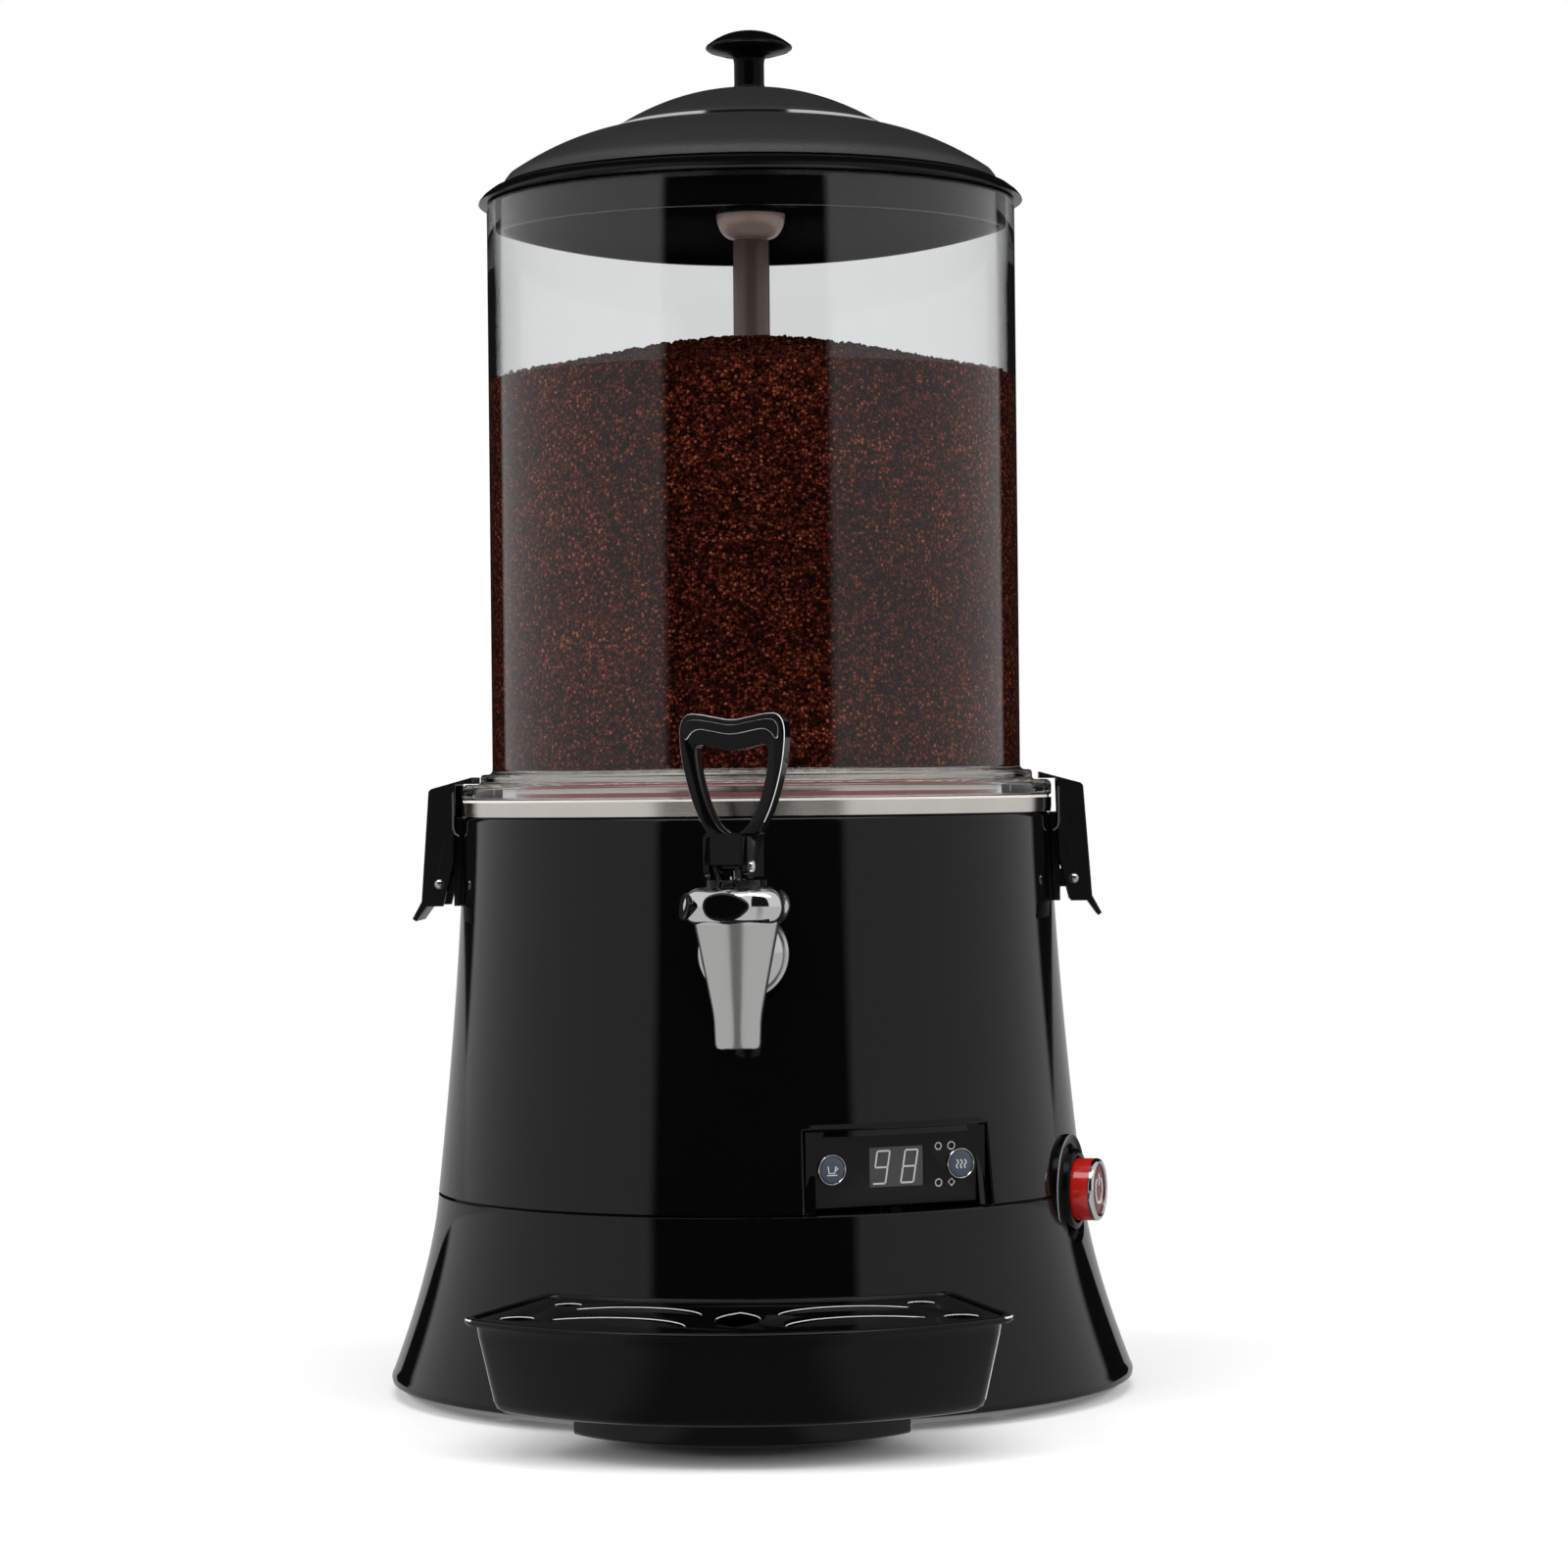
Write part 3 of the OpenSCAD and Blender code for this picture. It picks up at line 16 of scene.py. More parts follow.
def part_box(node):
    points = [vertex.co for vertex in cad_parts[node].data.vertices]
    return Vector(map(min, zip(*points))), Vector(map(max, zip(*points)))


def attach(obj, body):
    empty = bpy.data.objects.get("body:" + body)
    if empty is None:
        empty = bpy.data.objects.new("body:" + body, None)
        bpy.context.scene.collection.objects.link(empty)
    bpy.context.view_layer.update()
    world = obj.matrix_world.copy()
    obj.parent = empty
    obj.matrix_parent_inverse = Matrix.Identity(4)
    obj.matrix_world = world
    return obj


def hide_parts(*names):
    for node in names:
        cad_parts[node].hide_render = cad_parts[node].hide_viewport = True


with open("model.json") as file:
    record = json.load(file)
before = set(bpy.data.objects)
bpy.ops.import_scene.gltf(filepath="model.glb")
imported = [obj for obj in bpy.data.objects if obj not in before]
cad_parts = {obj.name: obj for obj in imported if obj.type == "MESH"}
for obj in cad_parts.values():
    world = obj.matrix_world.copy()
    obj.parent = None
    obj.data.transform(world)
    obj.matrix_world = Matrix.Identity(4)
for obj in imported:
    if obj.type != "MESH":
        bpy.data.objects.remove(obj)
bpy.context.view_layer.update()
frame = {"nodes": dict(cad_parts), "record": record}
MM = 0.001
UP = Vector((0, 0, 1))
print("parts in the frame:", len(frame["nodes"]))

# %% [markdown]
# ## Tools for shaping
# A potter's wheel suits most of this machine: a half outline is drawn point by point and spun round an
# axis. Other pieces start as a flat outline that is pulled up to a thickness. These helpers keep each
# later cell short, and leave every finished piece at the origin, clean and facing outward.

# %% Shaping tools
def fresh():
    """Leave edit mode and select nothing, so the next operator acts on its own piece alone."""
    if bpy.context.object and bpy.context.object.mode == "EDIT":
        bpy.ops.object.mode_set(mode="OBJECT")
    bpy.ops.object.select_all(action="DESELECT")


def pick(piece):
    """Make a piece the only selected one."""
    fresh()
    piece.select_set(True)
    bpy.context.view_layer.objects.active = piece


def point(name, place):
    """Start a piece as one point in edit mode: a small plane, merged to its middle."""
    fresh()
    bpy.ops.mesh.primitive_plane_add(size=MM, location=(0, 0, 0))
    piece = bpy.context.object
    piece.name = name
    bpy.ops.object.mode_set(mode="EDIT")
    bpy.ops.mesh.select_mode(type="VERT")
    bpy.ops.mesh.select_all(action="SELECT")
    bpy.ops.mesh.merge(type="CENTER")
    bpy.ops.transform.translate(value=place)
    return piece


def trace(places):
    """Extrude the selected point along a row of places."""
    for here, there in zip(places, places[1:]):
        step = Vector(there) - Vector(here)
        bpy.ops.mesh.extrude_region_move(TRANSFORM_OT_translate={"value": step})


def open_mesh(piece):
    """Enter edit mode with all of one piece selected."""
    pick(piece)
    bpy.ops.object.mode_set(mode="EDIT")
    bpy.ops.mesh.select_all(action="SELECT")


def clean(piece, sharp=35):
    """Merge doubles, turn the normals outward and smooth all but the sharp edges."""
    open_mesh(piece)
    bpy.ops.mesh.remove_doubles(threshold=0.01 * MM)
    bpy.ops.mesh.normals_make_consistent(inside=False)
    bpy.ops.object.mode_set(mode="OBJECT")
    bpy.ops.object.shade_smooth_by_angle(angle=math.radians(sharp))
    return piece


def lathe(name, outline, steps=128, axis=(0, 0), sharp=35):
    """Spin a half outline of (radius, height) points round an upright axis."""
    x, y = axis
    places = [(x + r, y, z) for r, z in outline]
    piece = point(name, places[0])
    trace(places)
    bpy.ops.mesh.select_all(action="SELECT")
    bpy.ops.mesh.spin(steps=steps, angle=math.tau, center=(x, y, 0), axis=UP, use_auto_merge=True)
    return clean(piece, sharp)


def slab(name, outline, low, high, sharp=35):
    """Fill a flat outline of (x, y) points and pull it up from one height to another."""
    places = [(x, y, low) for x, y in outline]
    piece = point(name, places[0])
    trace(places)
    bpy.ops.mesh.select_all(action="SELECT")
    bpy.ops.mesh.edge_face_add()
    bpy.ops.mesh.extrude_region_move(TRANSFORM_OT_translate={"value": (0, 0, high - low)})
    return clean(piece, sharp)


def move(piece, matrix):
    """Carry a piece's mesh to its place, leaving the object itself at the origin."""
    piece.data.transform(matrix)
    return piece


def facing(angle, reach, height):
    """Frame of a part on the side: x along the side, y up, z outward, as the body is set out."""
    out = Vector((math.sin(angle), -math.cos(angle), 0))
    side = UP.cross(out)
    spin = Matrix((side, UP, out)).transposed().to_4x4()
    return Matrix.Translation(out * reach + UP * height) @ spin


def modify(piece, kind, **settings):
    """Add one modifier with its settings and apply it."""
    pick(piece)
    bpy.ops.object.modifier_add(type=kind)
    made = piece.modifiers[-1]
    for key, value in settings.items():
        setattr(made, key, value)
    bpy.ops.object.modifier_apply(modifier=made.name)
    return piece


def bevel(piece, width, segments, angle=50):
    """Round the edges that are sharper than an angle."""
    limit = math.radians(angle)
    return modify(piece, "BEVEL", width=width, segments=segments, limit_method="ANGLE", angle_limit=limit)


def cut(piece, cutter):
    """Take a cutter away from a piece and throw the cutter away."""
    modify(piece, "BOOLEAN", operation="DIFFERENCE", solver="EXACT", object=cutter)
    bpy.data.objects.remove(cutter)
    return piece


def join(name, pieces):
    """Join pieces to one object."""
    pick(pieces[0])
    for other in pieces[1:]:
        other.select_set(True)
    bpy.ops.object.join()
    pieces[0].name = name
    return pieces[0]


def arc(middle, radius, start, end, steps=6):
    """Points of an arc, in degrees from the first axis."""
    turns = [math.radians(start + (end - start) * i / steps) for i in range(steps + 1)]
    return [(middle[0] + radius * math.cos(t), middle[1] + radius * math.sin(t)) for t in turns]


def smooth(points, rounds=3):
    """Cut the corners of a closed outline until it is smooth."""
    for turn in range(rounds):
        pairs = list(zip(points, points[1:] + points[:1]))
        points = [(a[0] + (b[0] - a[0]) * t, a[1] + (b[1] - a[1]) * t)
                  for a, b in pairs for t in (0.25, 0.75)]
    return points


def closed(points):
    """The same outline, ending where it began."""
    return points + points[:1]


def curve(low, high, steps):
    """Even steps from one value to another."""
    return [low + (high - low) * i / steps for i in range(steps + 1)]


def from_mm(points, low=0.0):
    """Points given in millimetres, with the second value counted from a height."""
    return [(first * MM, low + second * MM) for first, second in points]


print("shaping tools ready")

# %% [markdown]
# ## Shader maths
# A finish is a small sum: a tone, plus some wear, plus a grain. Wrapping a socket in a class lets the sum
# be written as a sum. Each operator adds one Math node, and `add` makes any other node.

# %% Shader tools
class Wire:
    """One socket of a node tree."""

    def __init__(self, tree, socket=None):
        self.tree = tree
        self.socket = socket

    def feed(self, socket, value):
        """Link a wire into a socket, or set the socket's own value."""
        if isinstance(value, Wire):
            self.tree.links.new(value.socket, socket)
        else:
            socket.default_value = value

    def add(self, kind, settings=None, inputs=None, out=0):
        """Make a node: its settings first, then its sockets; the wire is its output."""
        made = self.tree.nodes.new("ShaderNode" + kind)
        for key, value in (settings or {}).items():
            if key == "stops":
                for stop, (place, tone) in zip(self.stops(made.color_ramp, len(value)), value):
                    stop.position = place
                    stop.color = tone
            else:
                setattr(made, key, value)
        for key, value in (inputs or {}).items():
            self.feed(made.inputs[key], value)
        return Wire(self.tree, made.outputs[out])

    @staticmethod
    def stops(ramp, count):
        while len(ramp.elements) < count:
            ramp.elements.new(1.0)
        return ramp.elements

    def maths(self, operation, *values):
        return self.add("Math", {"operation": operation}, dict(enumerate(values)))

    def __add__(self, other):
        return self.maths("ADD", self, other)

    def __sub__(self, other):
        return self.maths("SUBTRACT", self, other)

    def __mul__(self, other):
        return self.maths("MULTIPLY", self, other)

    def __rsub__(self, other):
        return self.maths("SUBTRACT", other, self)

    __radd__ = __add__
    __rmul__ = __mul__

    def between(self, low, high):
        """Zero below the low value, one above the high value, smooth between."""
        sockets = {"Value": self, "From Min": low, "From Max": high}
        return self.add("MapRange", {"interpolation_type": "SMOOTHSTEP"}, sockets)

    def mix(self, first, second):
        """Colour that goes from the first to the second with this wire."""
        return self.add("Mix", {"data_type": "RGBA"}, {0: self, 6: first, 7: second}, out=2)

    def noise(self, scale, detail=2.0, rough=0.5):
        """Noise on this wire's coordinates."""
        sockets = {"Vector": self, "Scale": scale, "Detail": detail, "Roughness": rough}
        return self.add("TexNoise", None, sockets)

    def cells(self, scale, feature="F1", out=0):
        """Cell pattern on this wire's coordinates."""
        return self.add("TexVoronoi", {"feature": feature}, {"Vector": self, "Scale": scale}, out)

    def bump(self, distance, strength=1.0):
        """Normal of a surface whose height is this wire."""
        return self.add("Bump", None, {"Height": self, "Strength": strength, "Distance": distance})


def start_finish(name):
    """New material: its shader, a bare wire to add nodes with, and the object's coordinates."""
    material = bpy.data.materials.new(name)
    material.use_nodes = True
    root = Wire(material.node_tree)
    place = root.add("TexCoord", out="Object")
    return material, material.node_tree.nodes["Principled BSDF"], root, place


def set_shader(root, shader, **values):
    """Feed named sockets: base_color goes to Base Color, ior to IOR and so on."""
    for key, value in values.items():
        label = {"ior": "IOR", "specular": "Specular IOR Level"}.get(key, key.replace("_", " ").title())
        root.feed(shader.inputs[label], value)


def grey(level, warm=0.0):
    """A grey, a little warmer or cooler."""
    return (level * (1 + warm), level, level * (1 - warm), 1.0)


print("shader tools ready")

# %% [markdown]
# ## Finishes
# Most of the outside is injection moulded and mirror polished, so it is nearly black with a faint
# orange-peel wave; the lid and latches come from a grained mould and shine softly. Metals differ in how
# finely they were polished. Each finish is made by one of a few recipes.

# %% Recipes for the finishes
def moulded(name, tone, roughness, grain, depth, specular=0.5, coat=0.0, wear=0.05):
    """Moulded plastic: a tone with slow cloudiness, smudged roughness and a grain."""
    material, shader, root, place = start_finish(name)
    cloud = place.noise(14.0, 3.0)
    pits = place.noise(grain, 2.0)
    pale = tuple(min(1.0, value * 1.35) for value in tone[:3]) + (1.0,)
    set_shader(root, shader, base_color=cloud.mix(tone, pale), roughness=roughness + (cloud - 0.5) * wear,
               normal=pits.bump(depth), specular=specular, coat_weight=coat)
    return material


def metal(name, tone, roughness, grain, depth, stretch=(1, 1, 1), wear=0.12):
    """Metal: a tone with a faint tarnish and fine polishing lines, stretched along one axis."""
    material, shader, root, place = start_finish(name)
    stretched = root.add("Mapping", None, {"Vector": place, "Scale": stretch})
    lines = stretched.noise(grain, 3.0)
    tarnish = place.noise(55.0, 4.0)
    dull = tuple(value * 0.86 for value in tone[:3]) + (1.0,)
    set_shader(root, shader, base_color=tarnish.mix(dull, tone), metallic=1.0,
               roughness=roughness + (tarnish - 0.5) * wear, normal=lines.bump(depth))
    return material


finishes = {
    "gloss_black": moulded("gloss_black", grey(0.0011), 0.05, 260.0, 0.000003, specular=0.36, wear=0.02),
    "tray_black": moulded("tray_black", grey(0.0010), 0.07, 260.0, 0.000003, specular=0.26, wear=0.02),
    "satin_black": moulded("satin_black", grey(0.0022), 0.28, 2600.0, 0.00002, specular=0.34),
    "bead_black": moulded("bead_black", grey(0.0012), 0.16, 500.0, 0.000006, specular=0.09),
    "handle_black": moulded("handle_black", grey(0.0011), 0.06, 300.0, 0.000004, specular=0.26),
    "panel_black": moulded("panel_black", grey(0.0016), 0.14, 1200.0, 0.000005, specular=0.26),
    "basin_steel": metal("basin_steel", (0.96, 0.91, 0.85, 1), 0.14, 420.0, 0.00001, (1, 1, 14)),
    "screw_steel": metal("screw_steel", (0.7, 0.69, 0.67, 1), 0.25, 900.0, 0.00002),
    "chrome": metal("chrome", (0.86, 0.86, 0.87, 1), 0.1, 700.0, 0.000006, (1, 1, 0.15)),
    "rubber_dark": moulded("rubber_dark", grey(0.018), 0.75, 1500.0, 0.0001, specular=0.3),
    # The pale tone is partly the gasket's own colour and partly a painted highlight: it gives the bright line
    # under the flange.
    "silicone": moulded("silicone", (0.62, 0.59, 0.55, 1), 0.5, 1300.0, 0.00003),
    "seal_red": moulded("seal_red", (0.20, 0.062, 0.058, 1), 0.5, 1300.0, 0.00003),
    "seal_white": moulded("seal_white", (0.78, 0.77, 0.73, 1), 0.5, 1300.0, 0.00003),
    "button_red": moulded("button_red", (0.34, 0.009, 0.006, 1), 0.16, 500.0, 0.00001, coat=0.6),
    "face_red": moulded("face_red", (0.075, 0.007, 0.007, 1), 0.25, 900.0, 0.00002),
    "key_blue_grey": moulded("key_blue_grey", (0.028, 0.036, 0.052, 1), 0.3, 2200.0, 0.00002),
    "display_glass": moulded("display_glass", grey(0.036), 0.2, 600.0, 0.000004, specular=0.3),
    "display_grey": moulded("display_grey", grey(0.11), 0.5, 900.0, 0.00002),
    "digit_white": moulded("digit_white", grey(0.36), 0.35, 900.0, 0.00001),
    # painted highlight: a pale grey laid on edges where light would glint
    "painted_highlight_line": moulded("painted_highlight_line", grey(0.46), 0.35, 700.0, 0.00001),
    "board_green": moulded("board_green", (0.012, 0.085, 0.04, 1), 0.4, 1600.0, 0.00005),
    "brass_parts": metal("brass_parts", (0.72, 0.52, 0.23, 1), 0.25, 800.0, 0.00002),
    "motor_grey": metal("motor_grey", (0.42, 0.43, 0.44, 1), 0.4, 700.0, 0.00003),
}
print("finishes:", len(finishes))

# %% [markdown]
# ## Clear bowl finish
# The bowl is clear polycarbonate, so what shows is bent light: lines in the flange and a grey edge. Shadow
# rays pass straight through, as bright light through thin plastic nearly does, so the grounds stay lit.

# %% Clear polycarbonate
material, shader, root, place = start_finish("clear_bowl")
haze = place.noise(18.0, 3.0)
set_shader(root, shader, base_color=(0.865, 0.872, 0.875, 1), transmission_weight=1.0, ior=1.42,
           coat_weight=0.3, roughness=haze.between(0.55, 0.95) * 0.03)
passing = root.add("BsdfTransparent", None, {"Color": (0.93, 0.93, 0.93, 1)})
ray = root.add("LightPath", out="Is Shadow Ray")
mixed = root.add("MixShader", None, {0: ray, 1: Wire(root.tree, shader.outputs[0]), 2: passing})
root.feed(material.node_tree.nodes["Material Output"].inputs["Surface"], mixed)
finishes["clear_bowl"] = material
print("bowl finish ready")

# %% [markdown]
# ## Chocolate granules
# Each granule has its own tone, from nearly black to a warm red brown, and its own small dome. Cell noise gives
# both: one random value per cell for the tone and the distance to its middle for the height. That distance also
# darkens each granule toward its edge, a painted shade between the granules.

# %% Granule finish
COARSE = 760.0
FINE = 1350.0
material, shader, root, place = start_finish("drink_granules")
grain_tone = root.add("SeparateColor", None, {"Color": place.cells(COARSE, out="Color")})
speck = root.add("SeparateColor", None, {"Color": place.cells(FINE, out="Color")})
drift = place.noise(24.0, 2.0)
tones = [(0.0, (0.0045, 0.0009, 0.0007, 1)), (0.35, (0.026, 0.0040, 0.0026, 1)),
         (0.7, (0.13, 0.023, 0.0105, 1)), (1.0, (0.46, 0.145, 0.072, 1))]
clump = place.noise(150.0, 2.0)
# painted shade: granules darken toward their edges, where they touch
painted_crevice_shade = place.cells(COARSE).between(0.25, 0.75)
level = grain_tone * 0.62 + speck * 0.38 + (drift - 0.5) * 0.35 + (clump - 0.5) * 0.3 - painted_crevice_shade * 0.28
brown = root.add("ValToRGB", {"stops": tones}, {"Fac": level})
height = (1.0 - place.cells(COARSE)) + (1.0 - place.cells(FINE)) * 0.4
set_shader(root, shader, base_color=brown, roughness=0.6 + (speck - 0.5) * 0.2, specular=0.04,
           normal=height.bump(0.0016, 1.0))
finishes["drink_granules"] = material
print("granule finish ready")

# %% [markdown]
# ## Smoky tube
# The agitator is moulded in a smoky plastic. Light gathers in the funnel at its head, so the funnel is painted
# far paler than the tube as painted light, and its rim is black. One finish holds all three, told apart by
# height, so that the piece stays whole.

# %% Smoky finish
CUP_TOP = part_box("agitator")[1].z
CUP_LOW = CUP_TOP - 11.5 * MM
TUBE_TONE = (0.165, 0.118, 0.10, 1)
CUP_PAINTED_LIGHT_TONE = (0.80, 0.58, 0.50, 1)
RIM_TONE = (0.012, 0.01, 0.009, 1)
material, shader, root, place = start_finish("smoky_tube")
rise = Wire(root.tree, root.add("SeparateXYZ", None, {"Vector": place}).socket.node.outputs["Z"])
flow = root.add("Mapping", None, {"Vector": place, "Scale": (1, 1, 0.1)}).noise(300.0, 3.0)
# painted light: the funnel is toned far paler than the tube from its lower edge up
cup_painted_light = rise.between(CUP_LOW - 1 * MM, CUP_LOW + 1 * MM).mix(TUBE_TONE, CUP_PAINTED_LIGHT_TONE)
rim_tone = rise.between(CUP_TOP - 3.4 * MM, CUP_TOP - 2.8 * MM).mix(cup_painted_light, RIM_TONE)
set_shader(root, shader, base_color=rim_tone, roughness=0.2 + flow * 0.1, specular=0.8, metallic=0.25,
           normal=flow.bump(0.00001))
finishes["smoky_tube"] = material
print("smoky finish ready")

# %% [markdown]
# ## Studio
# The photograph was lit by two tall softboxes, left and right, which show as paler bands on everything
# polished, with a dark gap toward the camera and another behind. The world draws those panels for
# mirror rays, a plain white for the camera, and an even light for everything matt.

# %% World
world = bpy.data.worlds.new("studio")
bpy.context.scene.world = world
world.use_nodes = True
root = Wire(world.node_tree)
aim = root.add("TexCoord", out="Generated")
parts = root.add("SeparateXYZ", None, {"Vector": aim})
across = parts.maths("ABSOLUTE", parts)
along = Wire(root.tree, parts.socket.node.outputs["Y"])
bearing = root.maths("ARCTAN2", across, 0.0 - along)
DARK_FRONT = math.radians(36)
DARK_BACK = math.radians(138)
EDGE = math.radians(2.5)
PANEL = 0.6
GAP = 0.008
ABOVE = 3.6
AMBIENT = 0.4
panel = bearing.between(DARK_FRONT - EDGE, DARK_FRONT + EDGE)
panel = panel - bearing.between(DARK_BACK - EDGE, DARK_BACK + EDGE)
mirror = GAP + panel * (PANEL - GAP)
rise = Wire(root.tree, parts.socket.node.outputs["Z"])
strip = rise.between(0.70, 0.76) - rise.between(0.90, 0.95)
overhead = strip * (0.0 - along).between(0.1, 0.25)
mirror = mirror + overhead * (ABOVE - mirror)
sight = root.add("LightPath", out="Is Camera Ray")
rays = sight.socket.node.outputs
bent = Wire(root.tree, rays["Is Transmission Ray"])
matt = root.maths("MINIMUM", Wire(root.tree, rays["Diffuse Depth"]), 1.0)
shiny = root.maths("MINIMUM", Wire(root.tree, rays["Glossy Depth"]), 1.0)
straight = root.maths("MAXIMUM", sight, bent) * (1.0 - root.maths("MAXIMUM", matt, shiny))
strength = mirror + matt * (AMBIENT - mirror)
strength = strength + straight * (1.0 - strength)
background = world.node_tree.nodes["Background"]
root.feed(background.inputs["Color"], (1, 1, 1, 1))
root.feed(background.inputs["Strength"], strength)
print("world ready")

# %% [markdown]
# ## Lamps
# Soft lamps overhead and at both sides light the matt parts and lay a soft shadow. Polished parts don't see
# them: a square lamp would show as a white tile in every curve, and the world already draws the panels.

# %% Lamps
def lamp(name, place, target, size, power):
    """A soft square lamp that lights matt surfaces only."""
    fresh()
    bpy.ops.object.light_add(type="AREA", location=place)
    made = bpy.context.object
    made.name = name
    made.data.shape = "SQUARE"
    made.data.size = size
    made.data.energy = power
    made.rotation_euler = (Vector(target) - Vector(place)).to_track_quat("-Z", "Y").to_euler()
    made.visible_glossy = False
    made.visible_transmission = False
    return made


heart = (0, 0, 0.25)
lamps = [
    lamp("lamp_left", (-1.8, -0.7, 1.0), heart, 1.4, 38),
    lamp("lamp_right", (1.8, -0.7, 1.0), heart, 1.4, 36),
    lamp("lamp_above", (0, -0.2, 2.2), heart, 1.6, 20),
]
print("lamps:", [made.name for made in lamps])

# %% [markdown]
# ## Floor
# The floor is a sheet of pale paper that fades to plain white away from the machine, so no horizon shows.
# To a mirror it shows painted shade: greyer, and darker still straight ahead, where it lies in the gap between
# the softboxes.

# %% Floor
FLOOR_GAP = math.radians(14)
FLOOR_EDGE = math.radians(5)
fresh()
bpy.ops.mesh.primitive_grid_add(x_subdivisions=8, y_subdivisions=8, size=30, location=(0, 0, 0))
floor = bpy.context.object
floor.name = "floor"
material, shader, root, place = start_finish("floor_paper")
middle = root.add("VectorMath", {"operation": "LENGTH"}, {0: place}, out="Value")
fleck = place.noise(90.0, 3.0)
set_shader(root, shader, base_color=fleck.mix(grey(0.90), grey(0.93)), roughness=0.9, specular=0.0)
sight = root.add("LightPath", out="Is Camera Ray")
rays = sight.socket.node.outputs
mirrored_ray = root.maths("MINIMUM", Wire(root.tree, rays["Glossy Depth"]), 1.0)
seen = root.maths("MAXIMUM", sight, Wire(root.tree, rays["Is Transmission Ray"]))
spots = root.add("SeparateXYZ", None, {"Vector": place})
ahead = 0.0 - Wire(root.tree, spots.socket.node.outputs["Y"])
bearing = root.maths("ARCTAN2", spots.maths("ABSOLUTE", spots), ahead)
# painted shade: to mirror rays the floor glows a flat grey, darker in the gap between the softboxes
shade = bearing.between(FLOOR_GAP - FLOOR_EDGE, FLOOR_GAP + FLOOR_EDGE).mix(grey(0.15), grey(0.46))
white = root.add("Emission", None, {"Color": mirrored_ray.mix((1, 1, 1, 1), shade), "Strength": 1.0})
far = root.maths("MAXIMUM", middle.between(0.25, 0.75) * seen, mirrored_ray)
mixed = root.add("MixShader", None, {0: far, 1: Wire(root.tree, shader.outputs[0]), 2: white})
root.feed(material.node_tree.nodes["Material Output"].inputs["Surface"], mixed)
floor.data.materials.append(material)
print("floor ready")

# %% [markdown]
# ## Camera
# A long lens keeps the sides of the bowl nearly parallel. The camera stands a little to the right of the tap,
# about level with the top of the housing. Its focal length and its aim are found in pixels of the
# photograph, so they are written as pixels over the width of the picture.

# %% Camera
PICTURE_WIDTH = 1600
FOCAL_PIXELS = 4520
OFF_CENTRE_PIXELS = 28
SENSOR = 36
CAMERA_REACH = 1.80
CAMERA_SIDE = math.radians(2.6)
CAMERA_HEIGHT = 0.244
FOCAL = FOCAL_PIXELS / PICTURE_WIDTH
OFF_CENTRE = OFF_CENTRE_PIXELS / PICTURE_WIDTH
ROLL = math.radians(-0.6)
fresh()
bpy.ops.object.camera_add()
camera = bpy.context.object
camera.name = "camera"
camera.data.sensor_width = SENSOR
camera.data.lens = SENSOR * FOCAL
camera.location.x = CAMERA_REACH * math.sin(CAMERA_SIDE)
camera.location.y = -CAMERA_REACH * math.cos(CAMERA_SIDE)
camera.location.z = CAMERA_HEIGHT
swing = CAMERA_SIDE - math.atan(OFF_CENTRE / FOCAL)
level = Matrix.Rotation(swing, 3, "Z") @ Matrix.Rotation(math.pi / 2, 3, "X")
camera.rotation_euler = (level @ Matrix.Rotation(ROLL, 3, "Z")).to_euler()
bpy.context.scene.camera = camera
bpy.context.scene.view_settings.view_transform = "Standard"
print("camera ready, lens", round(camera.data.lens, 1), "mm")

# %% [markdown]
# ## Parts that keep their shape
# Inside the machine nobody sees a fillet, so those parts stay as they were packed and only take the finish
# of their slot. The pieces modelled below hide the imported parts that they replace.

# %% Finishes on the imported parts
slots = {entry["node"]: entry["material_slot"] for entry in frame["record"]["subparts"]}
for name, made in frame["nodes"].items():
    made.data.materials.clear()
    made.data.materials.append(finishes[slots[name]])


def paint(piece, body, finish):
    """Give a piece a finish and a slot name, and let it ride its body."""
    piece.data.materials.clear()
    piece.data.materials.append(finishes[finish])
    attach(piece, body)
    print(piece.name, "on", body, "with", len(piece.data.polygons), "faces")
    return piece


def dress(piece, body, node, *others, finish=None):
    """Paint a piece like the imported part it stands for, and hide that part and any others named."""
    paint(piece, body, finish or slots[node])
    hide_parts(node, *others)
    return piece


def paint_highlight_lines(piece, chosen, finish="painted_highlight_line"):
    """Paint a highlight: give the faces that pass a test a pale finish where an edge would catch the light."""
    piece.data.materials.append(finishes[finish])
    for face in piece.data.polygons:
        if chosen(face.center, face.normal):
            face.material_index = 1
    return piece


def copy_of(name, node):
    """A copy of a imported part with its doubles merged."""
    piece = bpy.data.objects.new(name, frame["nodes"][node].data.copy())
    bpy.context.scene.collection.objects.link(piece)
    return clean(piece)


def round_edges(piece, width, segments=2, sharp=30):
    """Clear flat faces of inner edges and round the sharp ones."""
    open_mesh(piece)
    bpy.ops.mesh.dissolve_limited(angle_limit=math.radians(2))
    bpy.ops.object.mode_set(mode="OBJECT")
    return clean(bevel(piece, width, segments, 40), sharp)


def trim_above(piece, height):
    """Cut a piece off level at a height and close the cut."""
    open_mesh(piece)
    bpy.ops.mesh.bisect(plane_co=(0, 0, height), plane_no=UP, use_fill=True, clear_outer=True)
    bpy.ops.object.mode_set(mode="OBJECT")
    return piece


print("packed parts:", len(frame["nodes"]))

# %% [markdown]
# ## Housing and skirt
# Two deep shells, each pulled from a polished mould, meet at a fine seam. Their outlines are gentle power
# curves that flare toward the table. Each curve is a formula, so any later piece can ask how wide the body
# is at its own height.

